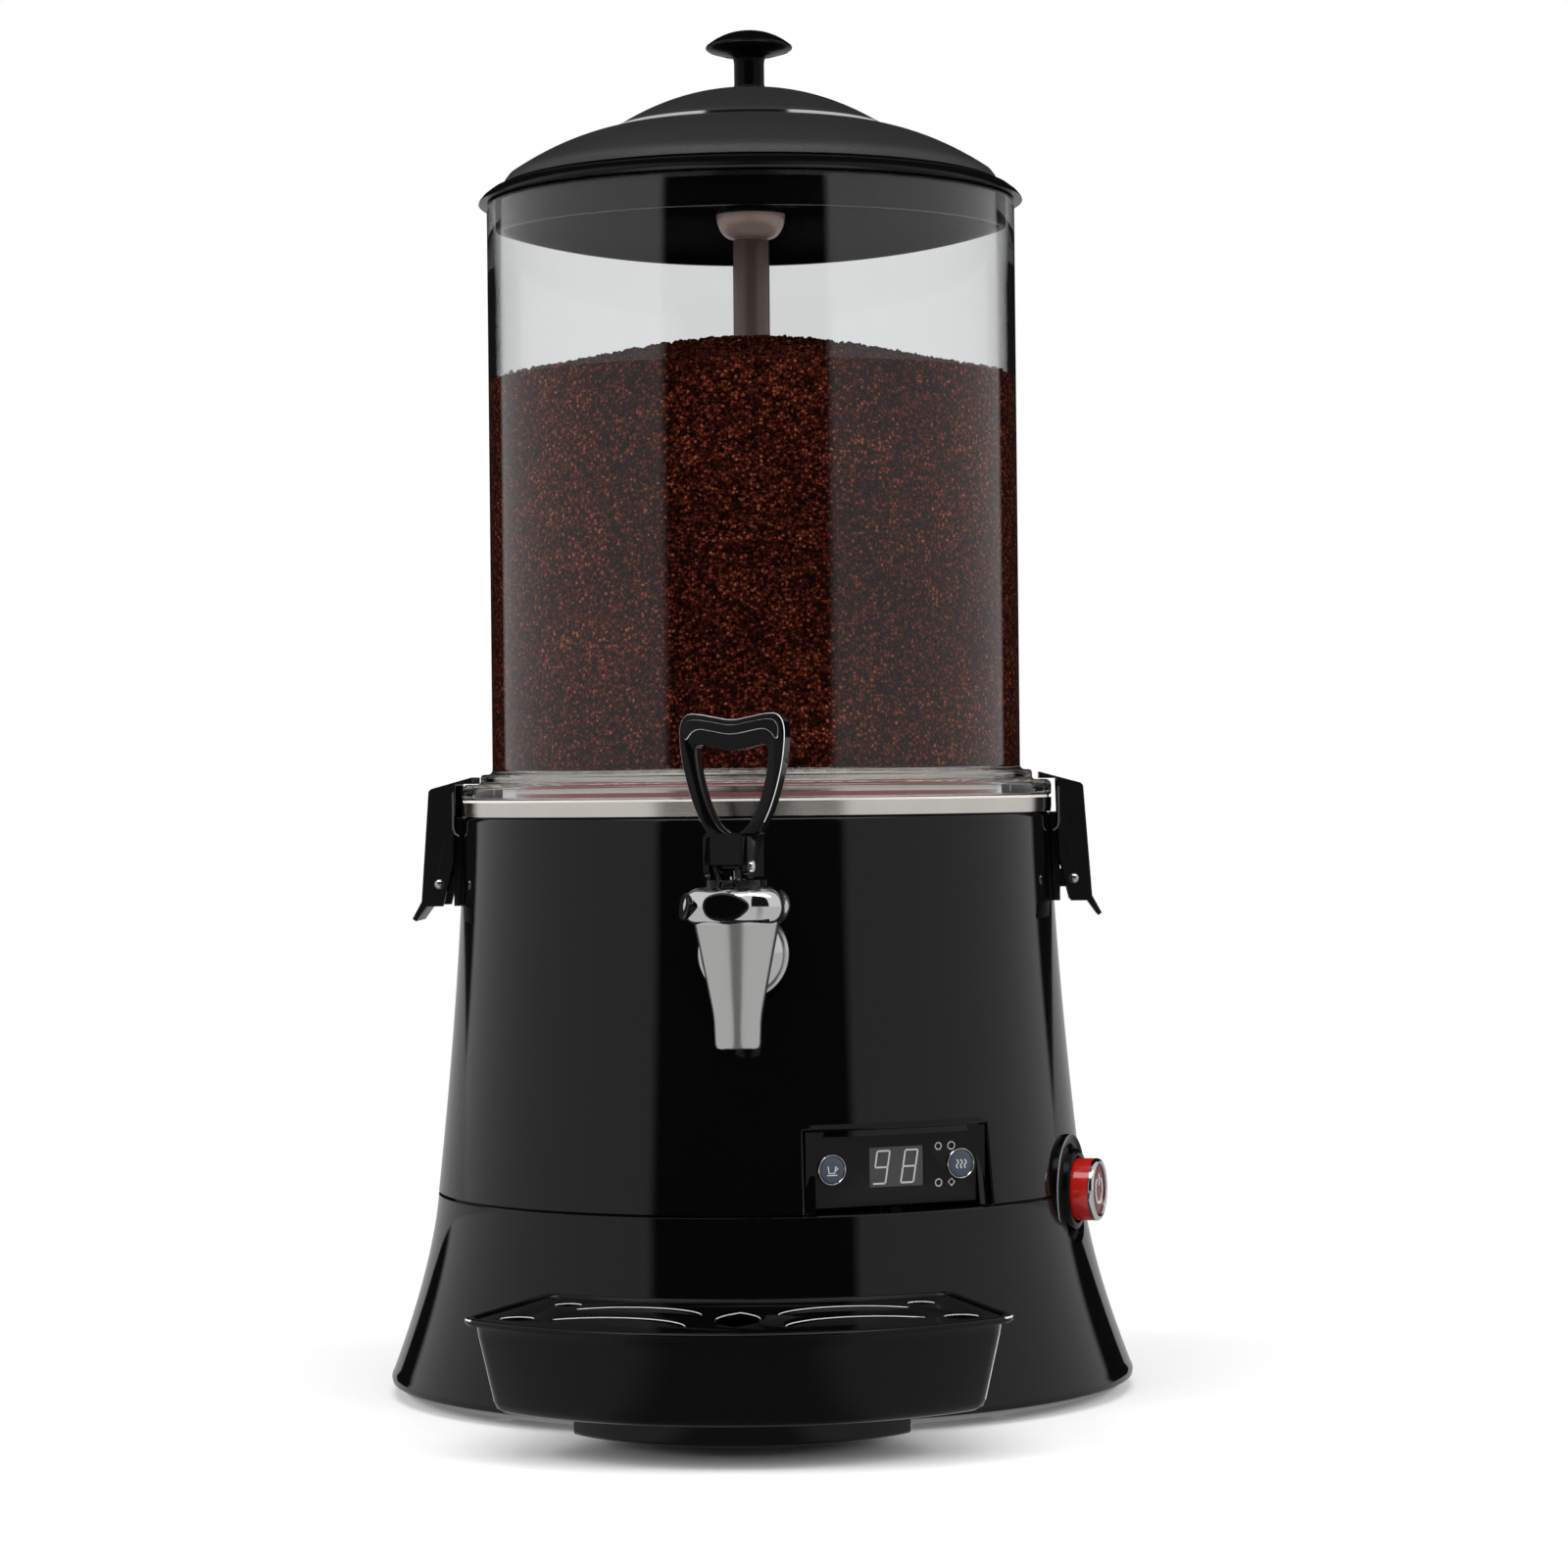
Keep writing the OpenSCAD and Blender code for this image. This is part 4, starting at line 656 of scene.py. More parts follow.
# %% Outlines of the shells
SEAM_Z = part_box("upper_housing")[0].z
SEAM_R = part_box("upper_housing")[1].x
HOUSING_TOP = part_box("upper_housing")[1].z
HOUSING_TOP_R = 0.119
BASE_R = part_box("base_skirt")[1].x
EDGE_Z = 0.007
WALL = 0.0026
LIP = 0.0022
SEAM_EDGE = 0.5 * MM
SEAM_GAP = 0.3 * MM
MOUTH_R = 0.1106
LAND_R = 0.108
ROUND_STEPS = 180
PANEL_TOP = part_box("control_panel")[1].z + 0.4 * MM
PANEL_ANGLE = math.radians(28)


def housing_r(z):
    """Radius of the housing at a height."""
    share = max((HOUSING_TOP - z) / (HOUSING_TOP - SEAM_Z), 0)
    return HOUSING_TOP_R + (SEAM_R - HOUSING_TOP_R) * share ** 1.5


def skirt_r(z):
    """Radius of the skirt at a height."""
    share = max((SEAM_Z - z) / (SEAM_Z - EDGE_Z), 0)
    return SEAM_R + (BASE_R - SEAM_R) * share ** 1.45


print("seam at", round(SEAM_Z, 4), "radius", round(SEAM_R, 4))

# %% [markdown]
# ### Housing shell
# The upper shell could be a stretched cylinder, but spinning its half outline gives the wall, the rolled lip
# and the seam edge in one go. One row of points lies exactly at the head of the control panel, so that the
# recess can be cut along the mesh and its rim rounded.

# %% Housing shell
outline = [(SEAM_R - WALL, SEAM_Z), (SEAM_R - SEAM_EDGE, SEAM_Z)]
outline += [(housing_r(z), z) for z in curve(SEAM_Z + SEAM_EDGE, PANEL_TOP, 7)]
outline += [(housing_r(z), z) for z in curve(PANEL_TOP, HOUSING_TOP - LIP, 24)[1:]]
outline += arc((HOUSING_TOP_R - LIP, HOUSING_TOP - LIP), LIP, 0, 90)[1:]
outline += [(MOUTH_R, HOUSING_TOP), (MOUTH_R, HOUSING_TOP - 3 * MM)]
outline += [(housing_r(z) - WALL, z) for z in curve(HOUSING_TOP - 6 * MM, SEAM_Z, 10)]
housing = lathe("housing_shell", outline, ROUND_STEPS)
print("housing rows:", len(outline))

# %% [markdown]
# ### Panel recess
# The control panel is flat and the housing is round, so the mould has a pocket for it. The skin is pushed
# straight in behind the panel, the floor of the pocket is opened, and the rim where skin and pocket meet is
# bevelled, since a moulded corner always has a radius.

# %% Panel recess
RECESS_HALF = math.radians(18)
RECESS_DEPTH = 0.016
RIM_ROUND = 1.1 * MM
TURN_SLACK = 0.002
outward = Vector((math.sin(PANEL_ANGLE), -math.cos(PANEL_ANGLE), 0))


def in_recess(place, margin=0.0):
    """Whether a place on the housing lies in the recess of the control panel."""
    turn = math.atan2(place.x, -place.y) - PANEL_ANGLE
    return abs(turn) < RECESS_HALF - margin and place.z < PANEL_TOP


def choose(piece, test):
    """Select the faces of a piece whose middle passes a test."""
    pick(piece)
    bpy.ops.object.mode_set(mode="EDIT")
    bpy.ops.mesh.select_all(action="DESELECT")
    bpy.ops.mesh.select_mode(type="FACE")
    bpy.ops.object.mode_set(mode="OBJECT")
    for face in piece.data.polygons:
        face.select = test(face.center)
    bpy.ops.object.mode_set(mode="EDIT")


def outer(place):
    """Whether a place above the seam lies on the outer skin of the housing."""
    return place.xy.length > housing_r(place.z) - 1 * MM and place.z > SEAM_Z + SEAM_EDGE


choose(housing, lambda place: in_recess(place) and outer(place))
bpy.ops.mesh.extrude_region_move(TRANSFORM_OT_translate={"value": outward * -RECESS_DEPTH})
bpy.ops.mesh.delete(type="FACE")


def behind_panel(place):
    """Whether a place lies on the inner wall or the seam edge behind the panel."""
    hidden = place.z < SEAM_Z + 0.6 * MM or place.xy.length < housing_r(place.z) - 1 * MM
    return in_recess(place, math.radians(1)) and hidden and place.z < PANEL_TOP - 0.1 * MM


choose(housing, behind_panel)
bpy.ops.mesh.delete(type="FACE")
bpy.ops.mesh.select_mode(type="EDGE")
bpy.ops.object.mode_set(mode="OBJECT")
for edge in housing.data.edges:
    ends = [housing.data.vertices[i].co for i in edge.vertices]
    turns = [abs(math.atan2(end.x, -end.y) - PANEL_ANGLE) for end in ends]
    on_skin = all(abs(end.xy.length - housing_r(end.z)) < 0.15 * MM for end in ends)
    on_side = all(abs(turn - RECESS_HALF) < TURN_SLACK for turn in turns)
    on_side = on_side and all(end.z < PANEL_TOP + 0.1 * MM for end in ends)
    on_head = all(turn < RECESS_HALF + TURN_SLACK for turn in turns)
    on_head = on_head and all(abs(end.z - PANEL_TOP) < 0.05 * MM for end in ends)
    edge.select = on_skin and (on_side or on_head)
bpy.ops.object.mode_set(mode="EDIT")
bpy.ops.mesh.bevel(offset=RIM_ROUND, segments=4, affect="EDGES")
bpy.ops.object.mode_set(mode="OBJECT")
clean(housing, 40)
print("recess rim rounded")

# %% [markdown]
# ### Skirt shell
# The lower shell carries on from the seam and flares to the table, where its edge is turned under. A hair's
# gap is left at the seam, as between two real mouldings. The round hole for the power switch crosses both
# shells, so it is bored through each of them with the same cutter.

# %% Skirt shell
SKIRT_TOP = SEAM_Z - SEAM_GAP
outline = [(LAND_R, SKIRT_TOP), (SEAM_R - SEAM_EDGE, SKIRT_TOP)]
outline += [(skirt_r(z), z) for z in curve(SKIRT_TOP - SEAM_EDGE, EDGE_Z + 2.2 * MM, 26)]
outline += [(BASE_R - 0.2 * MM, EDGE_Z + 1.0 * MM), (BASE_R, EDGE_Z), (BASE_R - 0.3 * MM, EDGE_Z - 1.6 * MM)]
outline += [(BASE_R - 1.2 * MM, EDGE_Z - 2 * MM), (BASE_R - 4 * MM, EDGE_Z - 2 * MM)]
outline += [(skirt_r(z) - WALL, z) for z in curve(EDGE_Z + 3 * MM, SEAM_Z - 3 * MM, 10)]
outline += [(LAND_R, SEAM_Z - 3 * MM), (LAND_R, SKIRT_TOP)]
skirt = lathe("skirt_shell", outline, ROUND_STEPS)
SWITCH_ANGLE = math.radians(74)
SWITCH_REACH = 0.129
SWITCH_Z = 0.082
COLLAR_R = 0.0218
for shell in (housing, skirt):
    fresh()
    bpy.ops.mesh.primitive_cylinder_add(vertices=64, radius=COLLAR_R - 0.5 * MM, depth=0.06)
    cutter = move(bpy.context.object, facing(SWITCH_ANGLE, SWITCH_REACH, SWITCH_Z))
    cut(shell, cutter)
dress(housing, "base", "upper_housing")
dress(skirt, "base", "base_skirt")

# %% [markdown]
# ## Clear bowl
# The bowl is one clear moulding whose foot swells into a thick flange. It is spun as a closed wall with an
# inside and an outside, because clear plastic only bends light rightly when it has a real thickness. The
# rounded corners of the flange are what draw its bright lines.

# %% Clear bowl
BOWL_R = 0.107
BOWL_IN = 0.104
FLANGE_LOW, FLANGE_HIGH = (corner.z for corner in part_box("bowl"))
FLANGE_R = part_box("bowl")[1].x
FLANGE_TOP = FLANGE_LOW + 6.5 * MM
FOOT = 6 * MM
edge = 1.2 * MM
outline = [(BOWL_IN - FOOT, FLANGE_LOW), (FLANGE_R - edge, FLANGE_LOW)]
outline += arc((FLANGE_R - edge, FLANGE_LOW + edge), edge, -90, 0, 4)[1:]
outline += arc((FLANGE_R - 2 * edge, FLANGE_TOP - 2 * edge), 2 * edge, 0, 90, 6)
outline += arc((BOWL_R + 6 * MM, FLANGE_TOP + edge), edge, 270, 180, 4)
outline += arc((BOWL_R + 3.4 * MM, FLANGE_TOP + 2.6 * MM), 1.4 * MM, 0, 90, 4)
outline += arc((BOWL_R + 2 * MM, FLANGE_TOP + 6 * MM), 2 * MM, 270, 180, 4)
outline += [(BOWL_R, z) for z in curve(FLANGE_TOP + 8 * MM, FLANGE_HIGH - 0.6 * MM, 6)]
outline += arc((BOWL_R - 0.6 * MM, FLANGE_HIGH - 0.6 * MM), 0.6 * MM, 0, 90, 3)[1:]
outline += arc((BOWL_IN + 0.6 * MM, FLANGE_HIGH - 0.6 * MM), 0.6 * MM, 90, 180, 3)
outline += [(BOWL_IN, z) for z in curve(FLANGE_HIGH - 2 * MM, FLANGE_TOP + 10 * MM, 6)]
outline += arc((BOWL_IN - FOOT, FLANGE_TOP + 9 * MM), FOOT, 0, -90, 8)
outline += [(BOWL_IN - FOOT, FLANGE_LOW)]
dress(lathe("clear_bowl", outline, steps=192, sharp=50), "base", "bowl")

# %% [markdown]
# ## Basin rim and seal
# The flange rests on the rolled rim of the steel basin, and a reddish seal at its inner edge shows through the
# flange as a thin line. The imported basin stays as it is: the roll with its short collar and the lip of the
# seal are spun as pieces of their own and added to it.

# %% Basin rim and seal
BASIN_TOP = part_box("steel_basin")[1].z
RIM_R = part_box("steel_basin")[1].x
rim = 2.1 * MM
SEAL_TOP = FLANGE_LOW + 2.8 * MM
COLLAR_IN, COLLAR_OUT = BOWL_IN - FOOT - 0.6 * MM, BOWL_IN - FOOT - 0.1 * MM
COLLAR_TOP = FLANGE_TOP + 2 * MM
RIM_UNDER = BASIN_TOP - 1.2 * MM
ROLL_IN = 0.1085
outline = [(COLLAR_IN, RIM_UNDER), (COLLAR_IN, COLLAR_TOP), (COLLAR_OUT, COLLAR_TOP)]
outline += [(COLLAR_OUT, SEAL_TOP), (COLLAR_OUT - 0.3 * MM, SEAL_TOP)]
outline += [(COLLAR_OUT - 0.3 * MM, BASIN_TOP), (RIM_R - rim, BASIN_TOP)]
outline += arc((RIM_R - rim, BASIN_TOP - rim), rim, 90, -90, 10)
outline += [(ROLL_IN, BASIN_TOP - 2 * rim), (ROLL_IN, RIM_UNDER), (COLLAR_IN, RIM_UNDER)]
paint(lathe("basin_rim", outline, ROUND_STEPS), "base", "basin_steel")
SEAL_IN = COLLAR_OUT - 0.2 * MM
SEAL_HEAD = SEAL_TOP - 0.05 * MM
outline = [(SEAL_IN, FLANGE_LOW), (COLLAR_OUT, FLANGE_LOW), (COLLAR_OUT + 0.05 * MM, SEAL_TOP - 0.4 * MM)]
outline += [(COLLAR_OUT, SEAL_HEAD), (SEAL_IN, SEAL_HEAD), (SEAL_IN, FLANGE_LOW)]
paint(lathe("seal_lip", outline, ROUND_STEPS), "base", "seal_red")

# %% [markdown]
# ## Chocolate grounds
# Coarse granules fill most of the bowl, heaped a little round the agitator. Modelling every one would take
# millions of faces, so the bulk is one smooth heap and the granule finish gives it its grain.

# %% Heap of granules
WALL_LAP = 0.25 * MM
FILL_R = BOWL_IN + WALL_LAP
FILL_LOW = BASIN_TOP + 0.5 * MM
FILL_SIDE = 0.408
FILL_CROWN = 0.0165
FILL_HOLE = 0.0078
fill_foot = FOOT + WALL_LAP
fill_base = FLANGE_TOP + 9 * MM


def heap_z(r):
    """Height of the heap at a distance from the axis."""
    return FILL_SIDE + FILL_CROWN * math.cos(min(r / FILL_R, 1) * math.pi / 2) ** 1.3


throat = COLLAR_IN - 0.1 * MM
outline = [(FILL_HOLE, FILL_LOW), (throat, FILL_LOW), (throat, fill_base - fill_foot)]
outline += arc((FILL_R - fill_foot, fill_base), fill_foot, -90, 0, 8)
outline += [(FILL_R, z) for z in curve(FLANGE_TOP + 14 * MM, FILL_SIDE - 1 * MM, 24)]
outline += [(r, heap_z(r) - 0.4 * MM) for r in curve(FILL_R, FILL_HOLE, 30)]
outline += [(FILL_HOLE, FILL_LOW)]
heap = lathe("chocolate_heap", outline, steps=160, sharp=60)
print("heap rows:", len(outline))

# %% [markdown]
# ### Loose granules
# Only at the top is the outline of single granules seen. Over two thousand lie there, each a copy of one ball
# of few faces with its corners pushed about, turned and stretched by chance. Scattering them in one mesh
# keeps the scene light, and the fixed seed gives the same heap every time.

# %% Loose granules
GRANULES = 2300
random.seed(11)
fresh()
bpy.ops.mesh.primitive_ico_sphere_add(subdivisions=1, radius=1.0)
seed_grain = bpy.context.object
bpy.ops.object.mode_set(mode="EDIT")
bpy.ops.transform.vertex_random(offset=0.35, seed=3)
bpy.ops.object.mode_set(mode="OBJECT")
shape = [corner.co.copy() for corner in seed_grain.data.vertices]
sides = [tuple(face.vertices) for face in seed_grain.data.polygons]
bpy.data.objects.remove(seed_grain)
corners, faces = [], []
for i in range(GRANULES):
    r = math.sqrt(random.uniform(0.0082 ** 2, (BOWL_IN - 1.4 * MM) ** 2))
    turn = random.uniform(0, math.tau)
    size = random.uniform(0.8, 1.5) * MM
    spot = Vector((r * math.cos(turn), r * math.sin(turn), heap_z(r)))
    tumble = Matrix.Rotation(random.uniform(0, math.tau), 3, Vector((random.random(), random.random(), 1)))
    stretch = Vector((random.uniform(0.75, 1.25), random.uniform(0.75, 1.25), random.uniform(0.7, 1.1)))
    faces += [tuple(len(corners) + k for k in side) for side in sides]
    corners += [spot + tumble @ (corner * stretch) * size for corner in shape]
mesh = bpy.data.meshes.new("loose_granules")
mesh.from_pydata(corners, [], faces)
granules = bpy.data.objects.new("loose_granules", mesh)
bpy.context.scene.collection.objects.link(granules)
paint(granules, "base", "drink_granules")
dress(heap, "base", "granule_fill")

# %% [markdown]
# ## Agitator
# A smoky moulded tube stirs the grounds from below. Its head opens like a funnel so that powder falls
# clear of the bearing; the paddles stay inside the heap.

# %% Agitator tube and head
TUBE_R = 0.0074
CUP_R = 0.014
TUBE_LOW = FILL_SIDE - 30 * MM
outline = [(0.0, TUBE_LOW), (TUBE_R, TUBE_LOW)]
outline += [(TUBE_R, z) for z in curve(FILL_SIDE - 20 * MM, CUP_LOW - 0.8 * MM, 4)]
outline += [(TUBE_R - 0.4 * MM, CUP_LOW - 0.4 * MM), (TUBE_R, CUP_LOW)]
outline += [(TUBE_R + (CUP_R - TUBE_R) * math.sin(t), CUP_LOW + 8.6 * MM * (1 - math.cos(t)))
            for t in curve(0.12, math.pi / 2, 9)]
outline += arc((CUP_R - 0.9 * MM, CUP_LOW + 9.0 * MM), 0.9 * MM, 0, 90, 4)
outline += [(CUP_R - 2.6 * MM, CUP_TOP - 1.2 * MM), (CUP_R - 3.2 * MM, CUP_TOP), (CUP_R - 5 * MM, CUP_TOP)]
outline += [(CUP_R - 6 * MM, CUP_TOP - 4 * MM), (0.0, CUP_TOP - 4.5 * MM)]
tube = lathe("agitator_tube", outline, steps=64)
paddles = trim_above(copy_of("paddles", "agitator"), FILL_SIDE - 29 * MM)
dress(join("agitator_with_paddles", [tube, clean(paddles)]), "agitator", "agitator")

# %% [markdown]
# ## Lid finish
# The lid comes from a grained mould, which scatters the overhead light into a soft, even shine. A fine bump
# does that better than a high roughness alone, because the grain still shows where the light grazes it.

# %% Lid finish
material, shader, root, place = start_finish("lid_black")
grain = place.noise(1500.0, 2.0)
cloud = place.noise(16.0, 3.0)
set_shader(root, shader, base_color=cloud.mix(grey(0.0105), grey(0.0155)), specular=0.44,
           roughness=0.40 + (cloud - 0.5) * 0.06, normal=grain.bump(0.0002))
finishes["lid_black"] = material
print("lid finish ready")

# %% [markdown]
# ## Lid
# The lid is two shallow domes with a step between them. Each dome is a formula, so the underside can follow
# the same two curves a wall's thickness lower, and no inner skin pokes through the step.

# %% Lid
CENTRE_R = 0.006
LID_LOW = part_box("lid")[0].z
LID_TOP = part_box("lid")[1].z
TIER_R, TIER_Z = 0.0545, 0.5104
SHOULDER_R, SHOULDER_Z = 0.098, 0.491
BEAD_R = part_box("lid")[1].x
BEAD_LOW = FLANGE_HIGH + 0.5 * MM
SKIRT_IN = 0.1028
LEDGE_Z = TIER_Z - 1.5 * MM


def dome(r_in, z_in, r_out, z_out, rise, steps):
    """Points of a shallow dome between two rings, with a little extra rise."""
    points = []
    for t in curve(0, 1, steps):
        r = r_in + (r_out - r_in) * t
        points.append((r, z_in + (z_out - z_in) * t ** 2 + rise * t * (1 - t)))
    return points


upper_dome = dome(CENTRE_R, LID_TOP, TIER_R, TIER_Z, -1.0 * MM, 14)
lower_dome = dome(TIER_R + 1.4 * MM, LEDGE_Z, SHOULDER_R, SHOULDER_Z, -7.3 * MM, 14)


def lining(drop):
    """The two domes without the step, lowered, from the middle out to just inside the shoulder."""
    return [(r, z - drop) for r, z in upper_dome[:-1] + lower_dome[1:-1]]


outline = upper_dome + [(TIER_R + 0.3 * MM, TIER_Z - 0.4 * MM), (TIER_R + 0.3 * MM, LEDGE_Z)] + lower_dome
outline += [(SHOULDER_R + 1.7 * MM, SHOULDER_Z - 2.2 * MM), (SHOULDER_R + 2.4 * MM, SHOULDER_Z - 4.2 * MM)]
outline += [(SHOULDER_R + 1.8 * MM, SHOULDER_Z - 4.6 * MM), (SHOULDER_R - 1 * MM, SHOULDER_Z - 4.6 * MM)]
outline += lining(1.3 * MM)[::-1] + [(CENTRE_R, LID_TOP)]
dress(lathe("lid_cover", outline, steps=160, sharp=40), "lid", "lid", finish="lid_black")

# %% [markdown]
# ### Bright line in the step
# The photograph shows two bright strokes in the step between the domes. A thin plated ring gives them here:
# being upright, it mirrors the softboxes left and right and the dark gap in the middle. Whether the real
# lid has such a ring or only a polished step can't be seen.

# %% Ring in the step
outline = [(0.1, -0.3), (0.7, -0.3), (0.75, -0.9), (0.75, -1.6), (0.1, -1.6), (0.1, -0.3)]
outline = [(TIER_R + r, z) for r, z in from_mm(outline, TIER_Z)]
paint(lathe("lid_trim", outline, steps=160), "lid", "chrome")

# %% [markdown]
# ### Bead of the lid
# A thick glossy bead hangs over the edge of the bowl and a skirt below it keeps the lid centred. It is spun
# apart from the cover, with a crease between them, because it shines differently.

# %% Bead of the lid
crease = SHOULDER_Z - 4.8 * MM
outline = [(SHOULDER_R - 1 * MM, crease), (SHOULDER_R + 2.6 * MM, crease)]
outline += [(BEAD_R - 5.0 * MM, SHOULDER_Z - 6.4 * MM)]
outline += [(BEAD_R - 1.8 * MM, SHOULDER_Z - 8.8 * MM), (BEAD_R - 0.3 * MM, SHOULDER_Z - 10.6 * MM)]
outline += [(BEAD_R, SHOULDER_Z - 11.4 * MM), (BEAD_R - 0.6 * MM, BEAD_LOW + 0.2 * MM)]
outline += [(BEAD_R - 1.4 * MM, BEAD_LOW), (SKIRT_IN, BEAD_LOW)]
outline += [(SKIRT_IN, LID_LOW + 0.6 * MM), (SKIRT_IN - 0.6 * MM, LID_LOW), (SKIRT_IN - 2.0 * MM, LID_LOW)]
outline += [(SKIRT_IN - 2.6 * MM, LID_LOW + 0.6 * MM), (SKIRT_IN - 2.6 * MM, FLANGE_HIGH + 1 * MM)]
outline += lining(2.6 * MM)[::-1] + lining(1.4 * MM) + [(SHOULDER_R - 1 * MM, crease)]
paint(lathe("lid_bead", outline, steps=160, sharp=40), "lid", "bead_black")

# %% [markdown]
# ### Hub under the lid
# Through the bowl a darker disc shows in the middle of the lid's underside. It is modelled as a flat hub with
# a softened edge, spun like the rest of the lid.

# %% Hub under the lid
HUB_R, HUB_Z = 0.050, 0.4786
HUB_HOLE = 0.004
outline = [(HUB_HOLE, HUB_Z), (HUB_R - 1 * MM, HUB_Z), (HUB_R, HUB_Z + 0.5 * MM)]
outline += [(HUB_R - 0.8 * MM, HUB_Z + 1.2 * MM), (0.030, HUB_Z + 3 * MM)]
outline += [(HUB_HOLE, HUB_Z + 4 * MM), (HUB_HOLE, HUB_Z)]
paint(lathe("lid_hub", outline, steps=120, sharp=50), "lid", "bead_black")

# %% [markdown]
# ## Knob
# A turned mushroom knob with a thin rim, held by a screw from below. Its cap is close to a parabola, so it is
# written as a power of the radius and needs few points.

# %% Knob
KNOB_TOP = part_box("lid_knob")[1].z
KNOB_FOOT = LID_TOP - 0.8 * MM
STEM_R = 0.0061
CAP_R = 0.0176
outline = [(0.0, KNOB_TOP)]
outline += [(CAP_R * t, KNOB_TOP - 6.3 * MM * t ** 2.3) for t in curve(0.1, 0.98, 12)]
outline += [(CAP_R, KNOB_TOP - 6.8 * MM), (CAP_R - 0.2 * MM, KNOB_TOP - 7.4 * MM)]
outline += [(CAP_R - 1.4 * MM, KNOB_TOP - 8.3 * MM), (CAP_R - 6 * MM, KNOB_TOP - 9.7 * MM)]
outline += [(STEM_R + 1.6 * MM, KNOB_TOP - 10.4 * MM), (STEM_R + 0.3 * MM, KNOB_TOP - 11.4 * MM)]
outline += [(STEM_R, z) for z in curve(KNOB_TOP - 13 * MM, LID_TOP + 2 * MM, 3)]
outline += [(STEM_R + 0.5 * MM, LID_TOP + 0.6 * MM), (STEM_R + 1.2 * MM, LID_TOP - 0.2 * MM)]
outline += [(STEM_R + 1.2 * MM, KNOB_FOOT), (0.0, KNOB_FOOT)]
dress(lathe("mushroom_knob", outline, steps=72), "lid", "lid_knob", finish="bead_black")

# %% [markdown]
# ## Tap
# A lever tap: pulling the loop toward you tips it about a pin and lifts a seal off its seat. The casting is
# plated, with a brushed spout and a head polished like a mirror. One finish holds both and changes from one
# to the other at the neck, so that the casting stays one piece.

# %% Tap finish
SPOUT = (0.0, -0.172)
TAP_Z = 0.180
TIP_R = 0.0085
TIP_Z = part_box("tap_body")[0].z
HEAD_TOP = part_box("tap_body")[1].z
HEAD_LOW = HEAD_TOP - 13.4 * MM
material, shader, root, place = start_finish("tap_chrome")
rise = Wire(root.tree, root.add("SeparateXYZ", None, {"Vector": place}).socket.node.outputs["Z"])
bright = rise.between(HEAD_LOW - 0.2 * MM, HEAD_LOW + 0.8 * MM)
lines = root.add("Mapping", None, {"Vector": place, "Scale": (1, 1, 0.1)}).noise(900.0, 3.0)
set_shader(root, shader, base_color=bright.mix((0.76, 0.76, 0.745, 1), (0.88, 0.88, 0.89, 1)), metallic=1.0,
           roughness=0.21 - bright * 0.15 + (lines - 0.5) * 0.06, normal=lines.bump(0.000006))
finishes["tap_chrome"] = material
print("tap finish ready")

# %% [markdown]
# ### Spout and lobed head
# The spout narrows in a long cone to a short straight mouth. The head above it starts as a turned ring whose
# rim is pushed in and out six times, which is how the wax pattern of such a grip is carved.

# %% Spout and lobed head
BORE_TOP = TIP_Z + 30 * MM
CONE_LOW = TIP_Z + 16 * MM
CONE_LOW_R, CONE_TOP_R, CONE_RISE = 0.0098, 0.0158, 30.5
outline = [(0.0, BORE_TOP), (0.0062, BORE_TOP), (0.0066, TIP_Z + 0.5 * MM), (0.0069, TIP_Z)]
outline += [(TIP_R - 0.5 * MM, TIP_Z), (TIP_R - 0.1 * MM, TIP_Z + 0.4 * MM)]
outline += [(TIP_R + 0.1 * MM, TIP_Z + 2 * MM), (TIP_R + 0.35 * MM, TIP_Z + 9 * MM)]
outline += [(TIP_R + 0.7 * MM, TIP_Z + 12.6 * MM), (TIP_R + 1.3 * MM, CONE_LOW)]
outline += [(r, CONE_LOW + (r - CONE_LOW_R) / (CONE_TOP_R - CONE_LOW_R) * CONE_RISE * MM)
            for r in curve(0.0104, CONE_TOP_R, 8)]
outline += [(0.0150, HEAD_LOW + 1.2 * MM), (0.0, HEAD_LOW + 1.2 * MM)]
spout = lathe("spout", outline, steps=96, axis=SPOUT, sharp=40)
LOBES = 6
LOBE_TURN = math.radians(-10)
LOBE_SWELL = 0.078
HEAD_RISE = 13.6
outline = [(0.0, 0.4), (14.8, 0.4), (16.4, 0.7), (17.8, 1.8), (18.8, 4.0), (19.2, 6.6), (18.9, 9.2)]
outline += [(17.9, 11.4), (16.4, 12.8), (14.4, 13.5), (12.0, HEAD_RISE), (0.0, HEAD_RISE)]
head = lathe("tap_head", from_mm(outline, HEAD_LOW), steps=144, axis=SPOUT, sharp=60)
for corner in head.data.vertices:
    away = corner.co.xy - Vector(SPOUT)
    if away.length > 0.010:
        wave = math.cos(LOBES * (math.atan2(away.x, -away.y) - LOBE_TURN))
        share = min(max((corner.co.z - HEAD_LOW) / (HEAD_RISE * MM), 0), 1)
        belly = math.sin(math.pi * share) ** 0.6
        corner.co.xy = Vector(SPOUT) + away * (1 + LOBE_SWELL * wave * belly)
        corner.co.z -= 0.5 * MM * wave * (1 - belly) * (1 if corner.co.z < HEAD_LOW + 6 * MM else -1)
modify(head, "SUBSURF", levels=1)
print("head faces:", len(head.data.polygons))

# %% [markdown]
# ### Boss behind the tap
# A short round boss at the back of the casting takes the pipe from the housing. It starts as a cylinder, its
# edges are bevelled, and it is laid on its side before spout, head and boss are joined.

